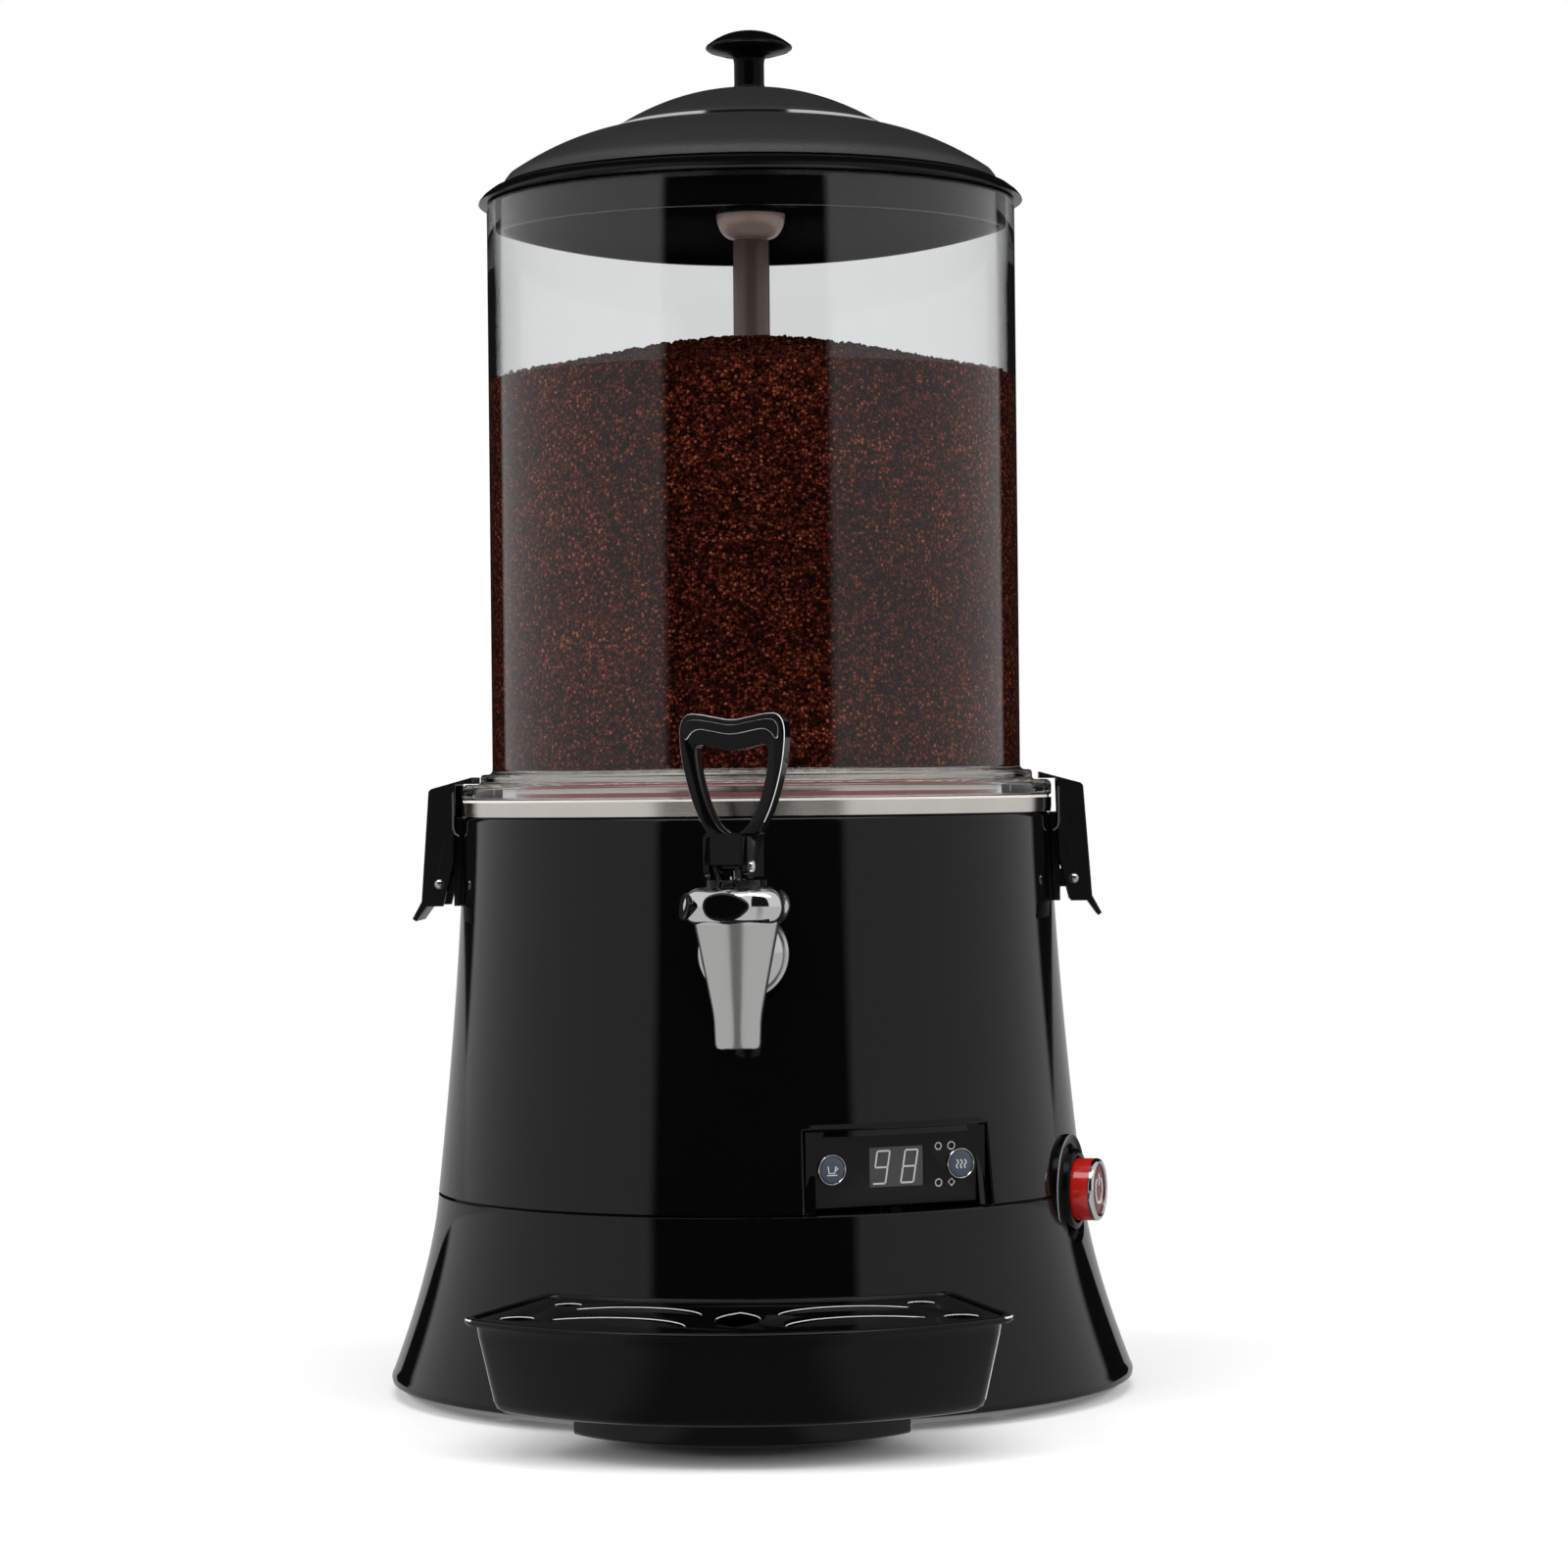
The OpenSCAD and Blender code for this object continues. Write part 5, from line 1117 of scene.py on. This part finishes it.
# %% Boss behind the tap
fresh()
bpy.ops.mesh.primitive_cylinder_add(vertices=48, radius=0.011, depth=0.024)
boss = bpy.context.object
boss.name = "tap_boss"
open_mesh(boss)
bpy.ops.mesh.bevel(offset=0.8 * MM, segments=2, affect="EDGES")
bpy.ops.object.mode_set(mode="OBJECT")
move(boss, facing(0, 0.160, TAP_Z))
tap = join("tap_casting", [spout, head, boss])
pick(tap)
bpy.ops.object.shade_smooth_by_angle(angle=math.radians(40))
dress(tap, "base", "tap_body", finish="tap_chrome")

# %% [markdown]
# ### Black pads on the head
# Two almond-shaped pads sit in the lobes that face the front and the left. Their outline has eight corners
# that are cut again and again until it is smooth, which needs far fewer numbers than tracing the curve.

# %% Black pads on the head
almond = [(-9.0, 0.4), (-7.4, 4.0), (-1.5, 5.6), (5.0, 4.2)]
almond += [(9.8, 0.6), (5.6, -4.0), (-1.0, -5.6), (-7.0, -4.2)]
pads = []
for turn, proud in ((-75, 0.4), (-9, 1.1)):
    pad = slab("pad", closed(smooth(from_mm(almond))), -1.6 * MM, proud * MM)
    bevel(pad, 0.9 * MM, 4, 60)
    tilt = Matrix.Rotation(math.radians(-9), 4, "X")
    place = facing(math.radians(turn), 0.0196, HEAD_LOW + 6.9 * MM) @ tilt
    pads.append(move(pad, Matrix.Translation((SPOUT[0], SPOUT[1], 0)) @ place))
pads = join("tap_pads", pads)
clean(pads, 50)
dress(pads, "base", "tap_inlays")

# %% [markdown]
# ### Loop handle
# The loop is moulded, rounded all over and swivelled a little to the left. It is symmetrical, so only the
# right half of each outline is listed. A raised brow on its upper bar gives the thumb a hold.

# %% Loop handle
LOOP_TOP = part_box("tap_handle")[1].z
LOOP_T = 0.008
HANDLE_TURN = math.radians(-17)


def mirrored(half):
    """A closed outline from its right half, listed from the top middle to the bottom middle."""
    return half + [(-x, y) for x, y in reversed(half[1:-1])]


def loop_points(half):
    """An outline of the loop from its right half, in millimetres from the top."""
    return from_mm(mirrored(half), LOOP_TOP)


band = [(0, -2.4), (6.5, -1.2), (13.5, 0.2), (18.0, 0.1), (20.4, -3.6), (20.6, -9.5), (19.6, -18)]
band += [(17.2, -28), (14.0, -37), (10.2, -43.6), (7.0, -46.6), (0, -48.4)]
hole = [(0, -13.8), (6.5, -12.6), (12.6, -11.0), (14.4, -11.6), (14.3, -16), (13.0, -24), (10.4, -33)]
hole += [(6.6, -40.6), (2.6, -43.8), (0, -44.2)]
loop = slab("loop", closed(smooth(loop_points(band))), -LOOP_T / 2, LOOP_T / 2)
opening = slab("opening", closed(smooth(loop_points(hole))), -LOOP_T, LOOP_T)
cut(loop, opening)
clean(bevel(loop, 2.1 * MM, 5), 40)
brow = [(0, -4.4), (6.2, -3.2), (13.0, -2.0), (17.0, -2.2), (18.6, -5.2), (18.2, -9.0), (17.4, -9.6)]
brow += [(15.4, -6.6), (12.4, -5.4), (6.4, -6.6), (0, -7.8)]
ridge = slab("ridge", closed(smooth(loop_points(brow), 2)), LOOP_T / 2 - 0.6 * MM, LOOP_T / 2 + 0.75 * MM)
clean(bevel(ridge, 0.55 * MM, 3), 40)
stand = Matrix.Translation((SPOUT[0], SPOUT[1], 0)) @ Matrix.Rotation(HANDLE_TURN, 4, "Z")
upright = Matrix.Rotation(math.pi / 2, 4, "X")
for part in (loop, ridge):
    move(part, stand @ upright)
print("loop and ridge ready")

# %% [markdown]
# ### Handle neck
# Below the loop a forked neck reaches down to the pin. The imported shape is right there, so a copy is cut off
# under the loop and its edges are rounded. A cover plate closes its front, and the edges of the loop that catch
# the light get a painted highlight, a thin pale line.

# %% Handle neck
NECK_TOP = 0.2262
neck = trim_above(copy_of("neck", "tap_handle"), NECK_TOP)
round_edges(neck, 0.45 * MM)
cover = [(-6.3, 214.6), (6.3, 214.6), (6.3, 226), (-6.3, 226)]
cover = slab("cover", closed(from_mm(cover)), 10.6 * MM, 11.3 * MM)
move(round_edges(cover, 0.25 * MM), stand @ upright)
handle = join("loop_handle", [loop, ridge, neck, cover])
dress(handle, "tap_handle", "tap_handle")
flat = (stand @ upright).inverted()
loop_heart = Vector((0, LOOP_TOP - 22 * MM))


def on_loop_highlight(place, normal):
    """Faces that get a painted highlight: the outer edge of the loop's front and the lower edge of its ridge.
    """
    place, normal = flat @ place, flat.to_3x3() @ normal
    rim = 0.05 < normal.z < 0.5 and (place.xy - loop_heart).dot(normal.xy) > 0
    brow = place.z > LOOP_T / 2 + 0.05 * MM and normal.z < 0.9 and normal.y < -0.2
    return place.z > 0 and place.y > LOOP_TOP - 40 * MM and (rim or brow)


paint_highlight_lines(handle, on_loop_highlight)

# %% [markdown]
# ### Bolts of the handle
# The pin on which the handle tips ends in a bright domed bolt on each side. Both are spun flat on the origin,
# then turned to face outward and carried to the pin.

# %% Bolts of the handle
PIVOT_OUT, PIVOT_Z = 7, 214
BOLT = [(0, 1.3), (1.2, 1.2), (2.2, 0.7), (2.5, 0), (2.5, -0.3), (0, -0.3)]
bolts = []
for side in (-1, 1):
    bolt = lathe("bolt", from_mm(BOLT), steps=32)
    place = Matrix.Translation((side * 8.6 * MM, -PIVOT_OUT * MM, PIVOT_Z * MM))
    bolts.append(move(bolt, stand @ place @ Matrix.Rotation(side * math.pi / 2, 4, "Y")))
paint(join("handle_bolts", bolts), "tap_handle", "chrome")

# %% [markdown]
# ### Escutcheon
# A pressed and plated disc hides the hole where the tap passes through the housing. Its bead and hollow are
# what make the bright rings beside the spout, so the outline keeps them.

# %% Escutcheon
outline = [(0, 0), (17.4, 0), (17.5, 0.7), (17.1, 1.5), (16.3, 1.8), (15.5, 1.5), (14.9, 1.5)]
outline += [(14.0, 2.4), (12.0, 3.6), (9.4, 4.4), (0, 4.5)]
plate = lathe("escutcheon", from_mm(outline), steps=96, sharp=40)
move(plate, facing(0, -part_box("tap_escutcheon")[1].y, TAP_Z))
dress(plate, "base", "tap_escutcheon")

# %% [markdown]
# ## Drip tray and grate
# The tray sits in front of the skirt and catches drips. Its plan has a bowed front, rounded tips and a back
# that follows the skirt. A function gives that plan at any step inward, so that rim, wall and floor all
# come from the same shape.

# %% Tray plan
TRAY_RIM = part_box("drip_tray")[1].z
TRAY_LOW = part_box("drip_tray")[0].z
TRAY_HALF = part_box("drip_tray")[1].x
TRAY_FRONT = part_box("drip_tray")[0].y
TIP = Vector((TRAY_HALF, -0.192))
bow = TIP.y - TRAY_FRONT
TRAY_ARC = (TRAY_HALF ** 2 + bow ** 2) / (2 * bow)
ARC_Y = TRAY_FRONT + TRAY_ARC
BACK_R = skirt_r(TRAY_RIM) + 1.4 * MM
BACK_X = 0.077
BACK = Vector((BACK_X, -math.sqrt(BACK_R ** 2 - BACK_X ** 2)))


def meet(start, along, middle, radius, way):
    """Where a line meets a circle, on the near or far side."""
    gap = start - middle
    reach = along.dot(gap)
    return start + along * (-reach + way * math.sqrt(reach ** 2 - gap.length_squared + radius ** 2))


def ease(start, corner, end, steps=5):
    """Points of a rounded corner."""
    return [tuple(start * (1 - t) ** 2 + corner * 2 * t * (1 - t) + end * t ** 2) for t in curve(0, 1, steps)]


def tray_plan(step):
    """Plan of the tray, stepped in: front arc, rounded tips, sides and a back that follows the skirt."""
    along = (BACK - TIP).normalized()
    inward = Vector((along.y, -along.x)) if along.y < 0 else Vector((-along.y, along.x))
    start = TIP + inward * step
    tip = meet(start, along, Vector((0, ARC_Y)), TRAY_ARC - step, -1)
    spots = [meet(start, along, Vector((0, 0)), BACK_R + step, way) for way in (-1, 1)]
    back = min(spots, key=lambda spot: (spot - BACK).length)
    swing = math.degrees(math.asin(tip.x / (TRAY_ARC - step)))
    turn = math.degrees(math.asin(back.x / (BACK_R + step)))
    front = arc((0, ARC_Y), TRAY_ARC - step, 270, 270 + swing - 3, 20)
    rear = arc((0, 0), BACK_R + step, 270 + turn - 2, 270, 14)
    right = front + ease(Vector(front[-1]), tip, tip + along * 6 * MM, 14)
    right += ease(back - along * 5 * MM, back, Vector(rear[0])) + rear[1:]
    return mirrored(right)


def loft(name, rings, sharp=50):
    """A skin over rings of equal length, closed at both ends."""
    places = [place for ring in rings for place in ring]
    count = len(rings[0])
    faces = [tuple(range(count)), tuple(range(len(places) - count, len(places)))]
    for row in range(len(rings) - 1):
        for i in range(count):
            j = (i + 1) % count
            faces.append((row * count + i, row * count + j, (row + 1) * count + j, (row + 1) * count + i))
    mesh = bpy.data.meshes.new(name)
    mesh.from_pydata(places, [], faces)
    piece = bpy.data.objects.new(name, mesh)
    bpy.context.scene.collection.objects.link(piece)
    return clean(piece, sharp)


def tray_ring(step, drop):
    """One ring of the tray's plan, stepped in and down from the rim, in millimetres."""
    return [(x, y, TRAY_RIM - drop * MM) for x, y in tray_plan(step * MM)]


print("tray arc", round(TRAY_ARC, 4), "points in the plan:", len(tray_plan(0)))

# %% [markdown]
# ### Tray
# The tray is a thin moulding: a rolled rim, sloping sides and a rounded floor. It can't be spun, so rings of
# its plan are stacked from the inner floor over the rim to the outer floor, each one a step inward and a
# drop below the rim, and a skin is laid over them.

# %% Tray
rows = [(15, 32), (11.5, 31.4), (9, 29), (6.6, 11), (6.2, 3.4), (3.4, 3.2), (3.2, 0.6), (2.6, 0)]
rows += [(1.0, 0), (0.3, 0.3), (0, 0.9), (0, 2.0), (0.4, 2.6), (3.4, 2.9), (3.9, 3.5), (4.4, 7)]
rows += [(6, 15), (8, 25), (9.2, 31), (10.2, 33.4), (12.4, 34.7), (15, 35)]
tray = loft("tray", [tray_ring(step, drop) for step, drop in rows])
dress(tray, "drip_tray", "drip_tray", finish="tray_black")


def on_tray_highlight(place, normal):
    """Faces that get a painted highlight: the ends of the rolled rim and the two front corners of the wall."""
    drop = (TRAY_RIM - place.z) / MM
    rim = 0.45 < drop < 0.75 and abs(place.x) > 0.095
    return rim or (4 < drop < 31 and -0.24 < normal.y < -0.08 and abs(place.x) > 0.08)


paint_highlight_lines(tray, on_tray_highlight)

# %% [markdown]
# ### Grate
# The grate drops into the rim. Its slots are punched one by one with cutters pulled from flat outlines: two
# curved slots and two round holes on each side, and a lens in the middle. Bevelled edges show its thickness,
# and a pale line on the far side of each slot is a painted highlight.

# %% Grate
SLOT_W = 5.4 * MM
SLOTS = (((0.052, -0.221), 0.0335, -27, 82), ((0.046, -0.188), 0.032, -28, 78))
ROUND_HOLES = (((0.081, -0.188), 6.2 * MM), ((0.066, -0.146), 5 * MM))
LENS_Y = -0.195
LENS_HALF_W, LENS_HALF_L = 8.2 * MM, 22 * MM
grate = loft("grate", [tray_ring(3.6, 3.0), tray_ring(3.6, 0.9)])


def slot_points(middle, radius, start, end, wide):
    """Outline of a curved slot with pointed ends, wider in the middle; angles from the back, in degrees."""
    turns = [math.radians(turn) for turn in curve(start, end, 20)]
    swell = [wide / 2 * math.sin(math.pi * min(max(t, 0.02), 0.98)) ** 0.4 for t in curve(0, 1, 20)]
    edges = []
    for side in (1, -1):
        reach = [radius + side * half for half in swell]
        edges.append([(middle[0] - r * math.sin(t), middle[1] + r * math.cos(t))
                      for t, r in zip(turns, reach)])
    return edges[0] + edges[1][::-1]


holes = []
for side in (-1, 1):
    outlines = [slot_points(*slot, SLOT_W) for slot in SLOTS]
    outlines += [arc(middle, radius, 0, 345, 23) for middle, radius in ROUND_HOLES]
    holes += [[(side * x, y) for x, y in outline] for outline in outlines]
lens_arc = (LENS_HALF_W ** 2 + LENS_HALF_L ** 2) / (2 * LENS_HALF_W)
half_turn = math.degrees(math.asin(LENS_HALF_L / lens_arc))
holes.append(mirrored(arc((LENS_HALF_W - lens_arc, LENS_Y), lens_arc, -half_turn, half_turn, 14)))
for outline in holes:
    cut(grate, slab("punch", closed(outline), TRAY_RIM - 9 * MM, TRAY_RIM + 6 * MM))
clean(bevel(grate, 0.5 * MM, 3), 30)
dress(grate, "drip_grate", "drip_grate", finish="tray_black")
# painted highlight: a pale line on the far edges of the slots, the faces that face forward and up
paint_highlight_lines(grate, lambda place, normal: normal.y < -0.1 and 0.1 < normal.z < 0.93)

# %% [markdown]
# ### Tray shelf
# Under the tray a low shelf reaches forward from the skirt and carries it. Only its bowed front shows, so a
# flat outline pulled up and bevelled is enough.

# %% Tray shelf
SHELF_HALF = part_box("tray_shelf")[1].x
SHELF_FRONT = -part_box("tray_shelf")[0].y
SHELF_ARC = 0.075
SHELF_BACK = -0.118
SHELF_LOW = 0.0052
shelf_swing = math.degrees(math.asin(SHELF_HALF / SHELF_ARC))
outline = arc((0, SHELF_ARC - SHELF_FRONT), SHELF_ARC, 270 - shelf_swing, 270 + shelf_swing, 24)
outline += [(SHELF_HALF, SHELF_BACK), (-SHELF_HALF, SHELF_BACK)]
shelf = slab("tray_shelf_plate", closed(outline), SHELF_LOW, TRAY_LOW - 0.2 * MM)
clean(bevel(shelf, 1.2 * MM, 3), 35)
dress(shelf, "base", "tray_shelf")

# %% [markdown]
# ## Control panel
# The figures, the small signs and the keys all lie on one flat plate. They are drawn flat, in millimetres from
# its middle, then stood up and carried to the recess by one matrix. Two helpers, for strips and for rings,
# draw nearly all of it.

# %% Strips
PANEL_FACE = 0.1207
PANEL_Z = (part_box("control_panel")[0].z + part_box("control_panel")[1].z) / 2
panel_place = facing(PANEL_ANGLE, PANEL_FACE, PANEL_Z)


def ribbon(name, points, wide, low, high):
    """A flat strip along a row of points, pulled up to a thickness; all sizes in millimetres."""
    left, right = [], []
    for i, here in enumerate(points):
        before = Vector(points[max(i - 1, 0)])
        after = Vector(points[min(i + 1, len(points) - 1)])
        across = (after - before).normalized().orthogonal() * (wide / 2)
        left.append(tuple((Vector(here) + across) * MM))
        right.append(tuple((Vector(here) - across) * MM))
    return slab(name, closed(left + right[::-1]), low * MM, high * MM)


def ring(name, inner, outer_r, low, high, steps=40, middle=(0, 0)):
    """A flat ring with rounded shoulders, in millimetres."""
    edge = min(0.3, (outer_r - inner) / 3)
    outline = [(inner, low), (inner, high - edge), (inner + edge, high), (outer_r - edge, high)]
    outline += [(outer_r, high - edge), (outer_r, low), (inner, low)]
    piece = lathe(name, from_mm(outline), steps=steps)
    return move(piece, Matrix.Translation((middle[0] * MM, middle[1] * MM, 0)))


print("panel face at", PANEL_FACE, "height", round(PANEL_Z, 4))

# %% [markdown]
# ### Plate and window
# A flat black plate closes the recess and a dark pane is let into it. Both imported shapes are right, so copies
# of them only have their edges rounded, which is enough to catch a thin line of light.

# %% Plate and window
dress(round_edges(copy_of("panel_plate", "control_panel"), 0.35 * MM), "base", "control_panel")
dress(round_edges(copy_of("window_pane", "display_window"), 0.2 * MM), "base", "display_window")

# %% [markdown]
# ### Figures and signs
# Each figure is made of up to seven bars, leaning as on most small displays. The signs near the right key are
# plain outlines: a hexagon, a ring, an octagon and a square on its corner, each a spun ring of few steps.

# %% Figures and signs
FIGURE_W, FIGURE_H, LEAN = 5.4, 12.4, 0.17
BARS = [((-1, 1), (1, 1)), ((-1, 0), (1, 0)), ((-1, -1), (1, -1))]
BARS += [((1, 0), (1, 1)), ((1, -1), (1, 0)), ((-1, 0), (-1, 1))]
LAST_BAR = ((-1, -1), (-1, 0))


def figure(middle, bars):
    """The lit bars of one figure."""
    made = []
    for start, end in bars:
        ends = [Vector((x * FIGURE_W / 2, y * FIGURE_H / 2)) for x, y in (start, end)]
        gap = (ends[1] - ends[0]).normalized() * 0.15
        ends = [ends[0] + gap, ends[1] - gap]
        made.append(ribbon("bar", [(middle + x + LEAN * y, y) for x, y in ends], 0.62, -0.2, 0.12))
    return made


figures = join("display_figures", figure(-6.4, BARS) + figure(5.6, BARS + [LAST_BAR]))
dress(move(figures, panel_place), "base", "display_digits")
signs = []
for x, y, steps in ((18.2, 7, 6), (23.8, 7, 24), (18.2, -7, 8), (23.8, -7, 4)):
    signs.append(ring("sign", 1.2, 1.7, -0.4, 0.12, steps, (x, y)))
dress(move(join("panel_signs", signs), panel_place), "base", "indicator_lights")

# %% [markdown]
# ### Keys
# Two round caps of blue-grey plastic sit in rings, flush enough not to be pressed by accident. Each has a
# plain sign, made of a few strips: a cup for pouring and three waves for heating.

# %% Keys
KEY_X = 27.6
rings = [ring("key_ring", 5.3, 5.85, -0.6, 0.9, 64, (side * KEY_X, 0)) for side in (-1, 1)]
dress(move(join("key_rings", rings), panel_place), "base", "button_rings")
cup = [[(-1.9, 1.4), (-1.5, -1.2), (0.9, -1.2), (1.3, 1.4)], [(-2.2, -2.0), (1.9, -2.0)]]
cup += [[(1.3, 0.9), (2.3, 0.5), (1.2, -0.4)]]
waves = [[(x + 0.45 * math.sin(t * 2.2), t - 0.2) for t in curve(-1.6, 1.8, 10)] for x in (-1.7, 0.0, 1.7)]
cap = [(0, 0.95), (2.6, 0.95), (4.3, 0.9), (4.9, 0.75), (5.2, 0.4), (5.2, -1.5), (0, -1.5)]
for side, node, strokes in ((-1, "panel_button_left", cup), (1, "panel_button_right", waves)):
    stand = panel_place @ Matrix.Translation((side * KEY_X * MM, 0, 0))
    key = lathe(node + "_cap", from_mm(cap), steps=64)
    dress(move(key, stand), node, node)
    sign = join(node + "_sign", [ribbon("stroke", stroke, 0.45, 0.6, 1.08) for stroke in strokes])
    paint(move(sign, stand), node, "digit_white")

# %% [markdown]
# ## Power switch
# A deep black collar is let into the side and a red cap stands out of it, with a bright bezel that holds the
# darker face. All are turned parts, so each is a spun outline laid on its side.

# %% Collar and red cap
switch_place = facing(SWITCH_ANGLE, SWITCH_REACH, SWITCH_Z)
outline = [(12.9, -4), (12.9, 3.3), (13.5, 4.0), (15.3, 4.0), (15.95, 3.4), (16.2, 1.8), (16.9, 0.9)]
outline += [(18.4, 0.5), (19.8, 0.7), (20.8, 1.3), (21.4, 1.4), (21.8, 0.9), (21.8, -4), (12.9, -4)]
collar = lathe("switch_ring", from_mm(outline), steps=96, sharp=45)
dress(move(collar, switch_place), "base", "switch_collar", finish="bead_black")
lying = switch_place.inverted()


def on_collar_highlight(place, normal):
    """Faces that get a painted highlight: the outer edge of the collar."""
    place = lying @ place
    return place.xy.length > COLLAR_R - 0.3 * MM and place.z > 0.8 * MM


# painted highlight: the collar's outer edge is laid in pale grey
paint_highlight_lines(collar, on_collar_highlight, "display_grey")
outline = [(0, -3.5), (12.1, -3.5), (12.3, -3.2), (12.3, 10.6), (12.0, 11.2), (0, 11.2)]
cap = lathe("red_cap", from_mm(outline), steps=72)
dress(move(cap, switch_place), "power_button", "power_button")
outline = [(10.4, 10.8), (10.4, 12.5), (10.7, 12.9), (11.3, 13.0), (11.9, 12.7)]
outline += [(12.3, 12.0), (12.4, 11.2), (12.3, 10.8), (10.4, 10.8)]
bezel = lathe("red_cap_bezel", from_mm(outline), steps=72)
paint(move(bezel, switch_place), "power_button", "chrome")

# %% [markdown]
# ### Face of the switch
# The face is a shallow darker disc with the usual sign for power: a broken ring and a bar. The disc is spun,
# and the sign is two raised strips, so that it stands out from any side without a painted picture.

# %% Face of the switch
outline = [(0, 12.3), (6.0, 12.2), (9.6, 11.9), (10.3, 11.6), (10.3, 11.0), (0, 11.0)]
face = lathe("switch_face", from_mm(outline), steps=72)
paint(move(face, switch_place), "power_button", "face_red")
strokes = [ribbon("stroke", arc((0, 0), 5.2, 125, 415, 30), 1.1, 11.9, 12.5)]
strokes.append(ribbon("stroke", [(0, 1.6), (0, 6.4)], 1.1, 11.9, 12.6))
paint(move(join("switch_sign", strokes), switch_place), "power_button", "digit_white")

# %% [markdown]
# ## Latches
# Two folded steel levers, painted black, hook over the clear flange and hold the bowl down. Bent sheet never
# has a knife edge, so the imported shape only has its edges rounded. A spring strip shows at each cheek.

# %% Latches and brackets
SPRING_Y = -0.016
spring_place = Matrix.Translation((0, SPRING_Y, 0)) @ Matrix.Rotation(math.pi / 2, 4, "X")


def on_latch_highlight(place, normal):
    """Faces that get a painted highlight: the rounded front edges at the top of a lever."""
    return place.z > 0.234 and normal.y < -0.15 and normal.z > 0.15


for side, node in ((-1, "latch_left"), (1, "latch_right")):
    lever = round_edges(copy_of(node + "_lever", node), 0.5 * MM, 3)
    dress(lever, node, node)
    paint_highlight_lines(lever, on_latch_highlight)
    strip = [(side * 122.1, 242.0), (side * 122.1, 227.5), (side * 121.4, 225.4), (side * 119.8, 224.3)]
    strip = ribbon(node + "_spring", strip, 0.7, -0.2, 0.35)
    paint(move(strip, spring_place), node, "screw_steel")
dress(round_edges(copy_of("latch_ears", "latch_brackets"), 0.4 * MM), "base", "latch_brackets")

# %% [markdown]
# ### Pivot rivets
# Small bright rivets show at the latches, an outer and an inner pair on each side, all at one height. They are
# alike, so one outline is spun eight times and each is turned to face the front or the back.

# %% Pivot rivets
RIVET = [(0, 0.9), (0.9, 0.8), (1.6, 0.45), (1.9, 0), (1.9, -1), (0, -1)]
RIVET_Z = 0.205
rivets = []
for side in (-1, 1):
    for front in (-1, 1):
        for reach, out in ((128.0, 16.0), (117.6, 12.0)):
            rivet = lathe("rivet", from_mm(RIVET), steps=24)
            turn = Matrix.Rotation(-front * math.pi / 2, 4, "X")
            spot = Matrix.Translation((side * reach * MM, front * out * MM, RIVET_Z))
            rivets.append(move(rivet, spot @ turn))
paint(join("latch_rivets", rivets), "base", "screw_steel")

# %% [markdown]
# ## Tap bonnet
# The bonnet closes the top of the tap and carries two ears for the pivot pin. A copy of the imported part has
# the rim of its plate drawn in, so that it sits well within the lobes of the head, and its edges rounded.

# %% Tap bonnet
PLATE_R = 0.0112
PLATE_EDGE = 0.0165
bonnet = copy_of("bonnet", "tap_bonnet")
for corner in bonnet.data.vertices:
    away = corner.co.xy - Vector(SPOUT)
    if away.length > PLATE_EDGE:
        corner.co.xy = Vector(SPOUT) + away * (PLATE_R / away.length)
dress(round_edges(bonnet, 0.4 * MM), "base", "tap_bonnet", finish="handle_black")
frame["nodes"]["handle_pin"].data.materials[0] = finishes["handle_black"]
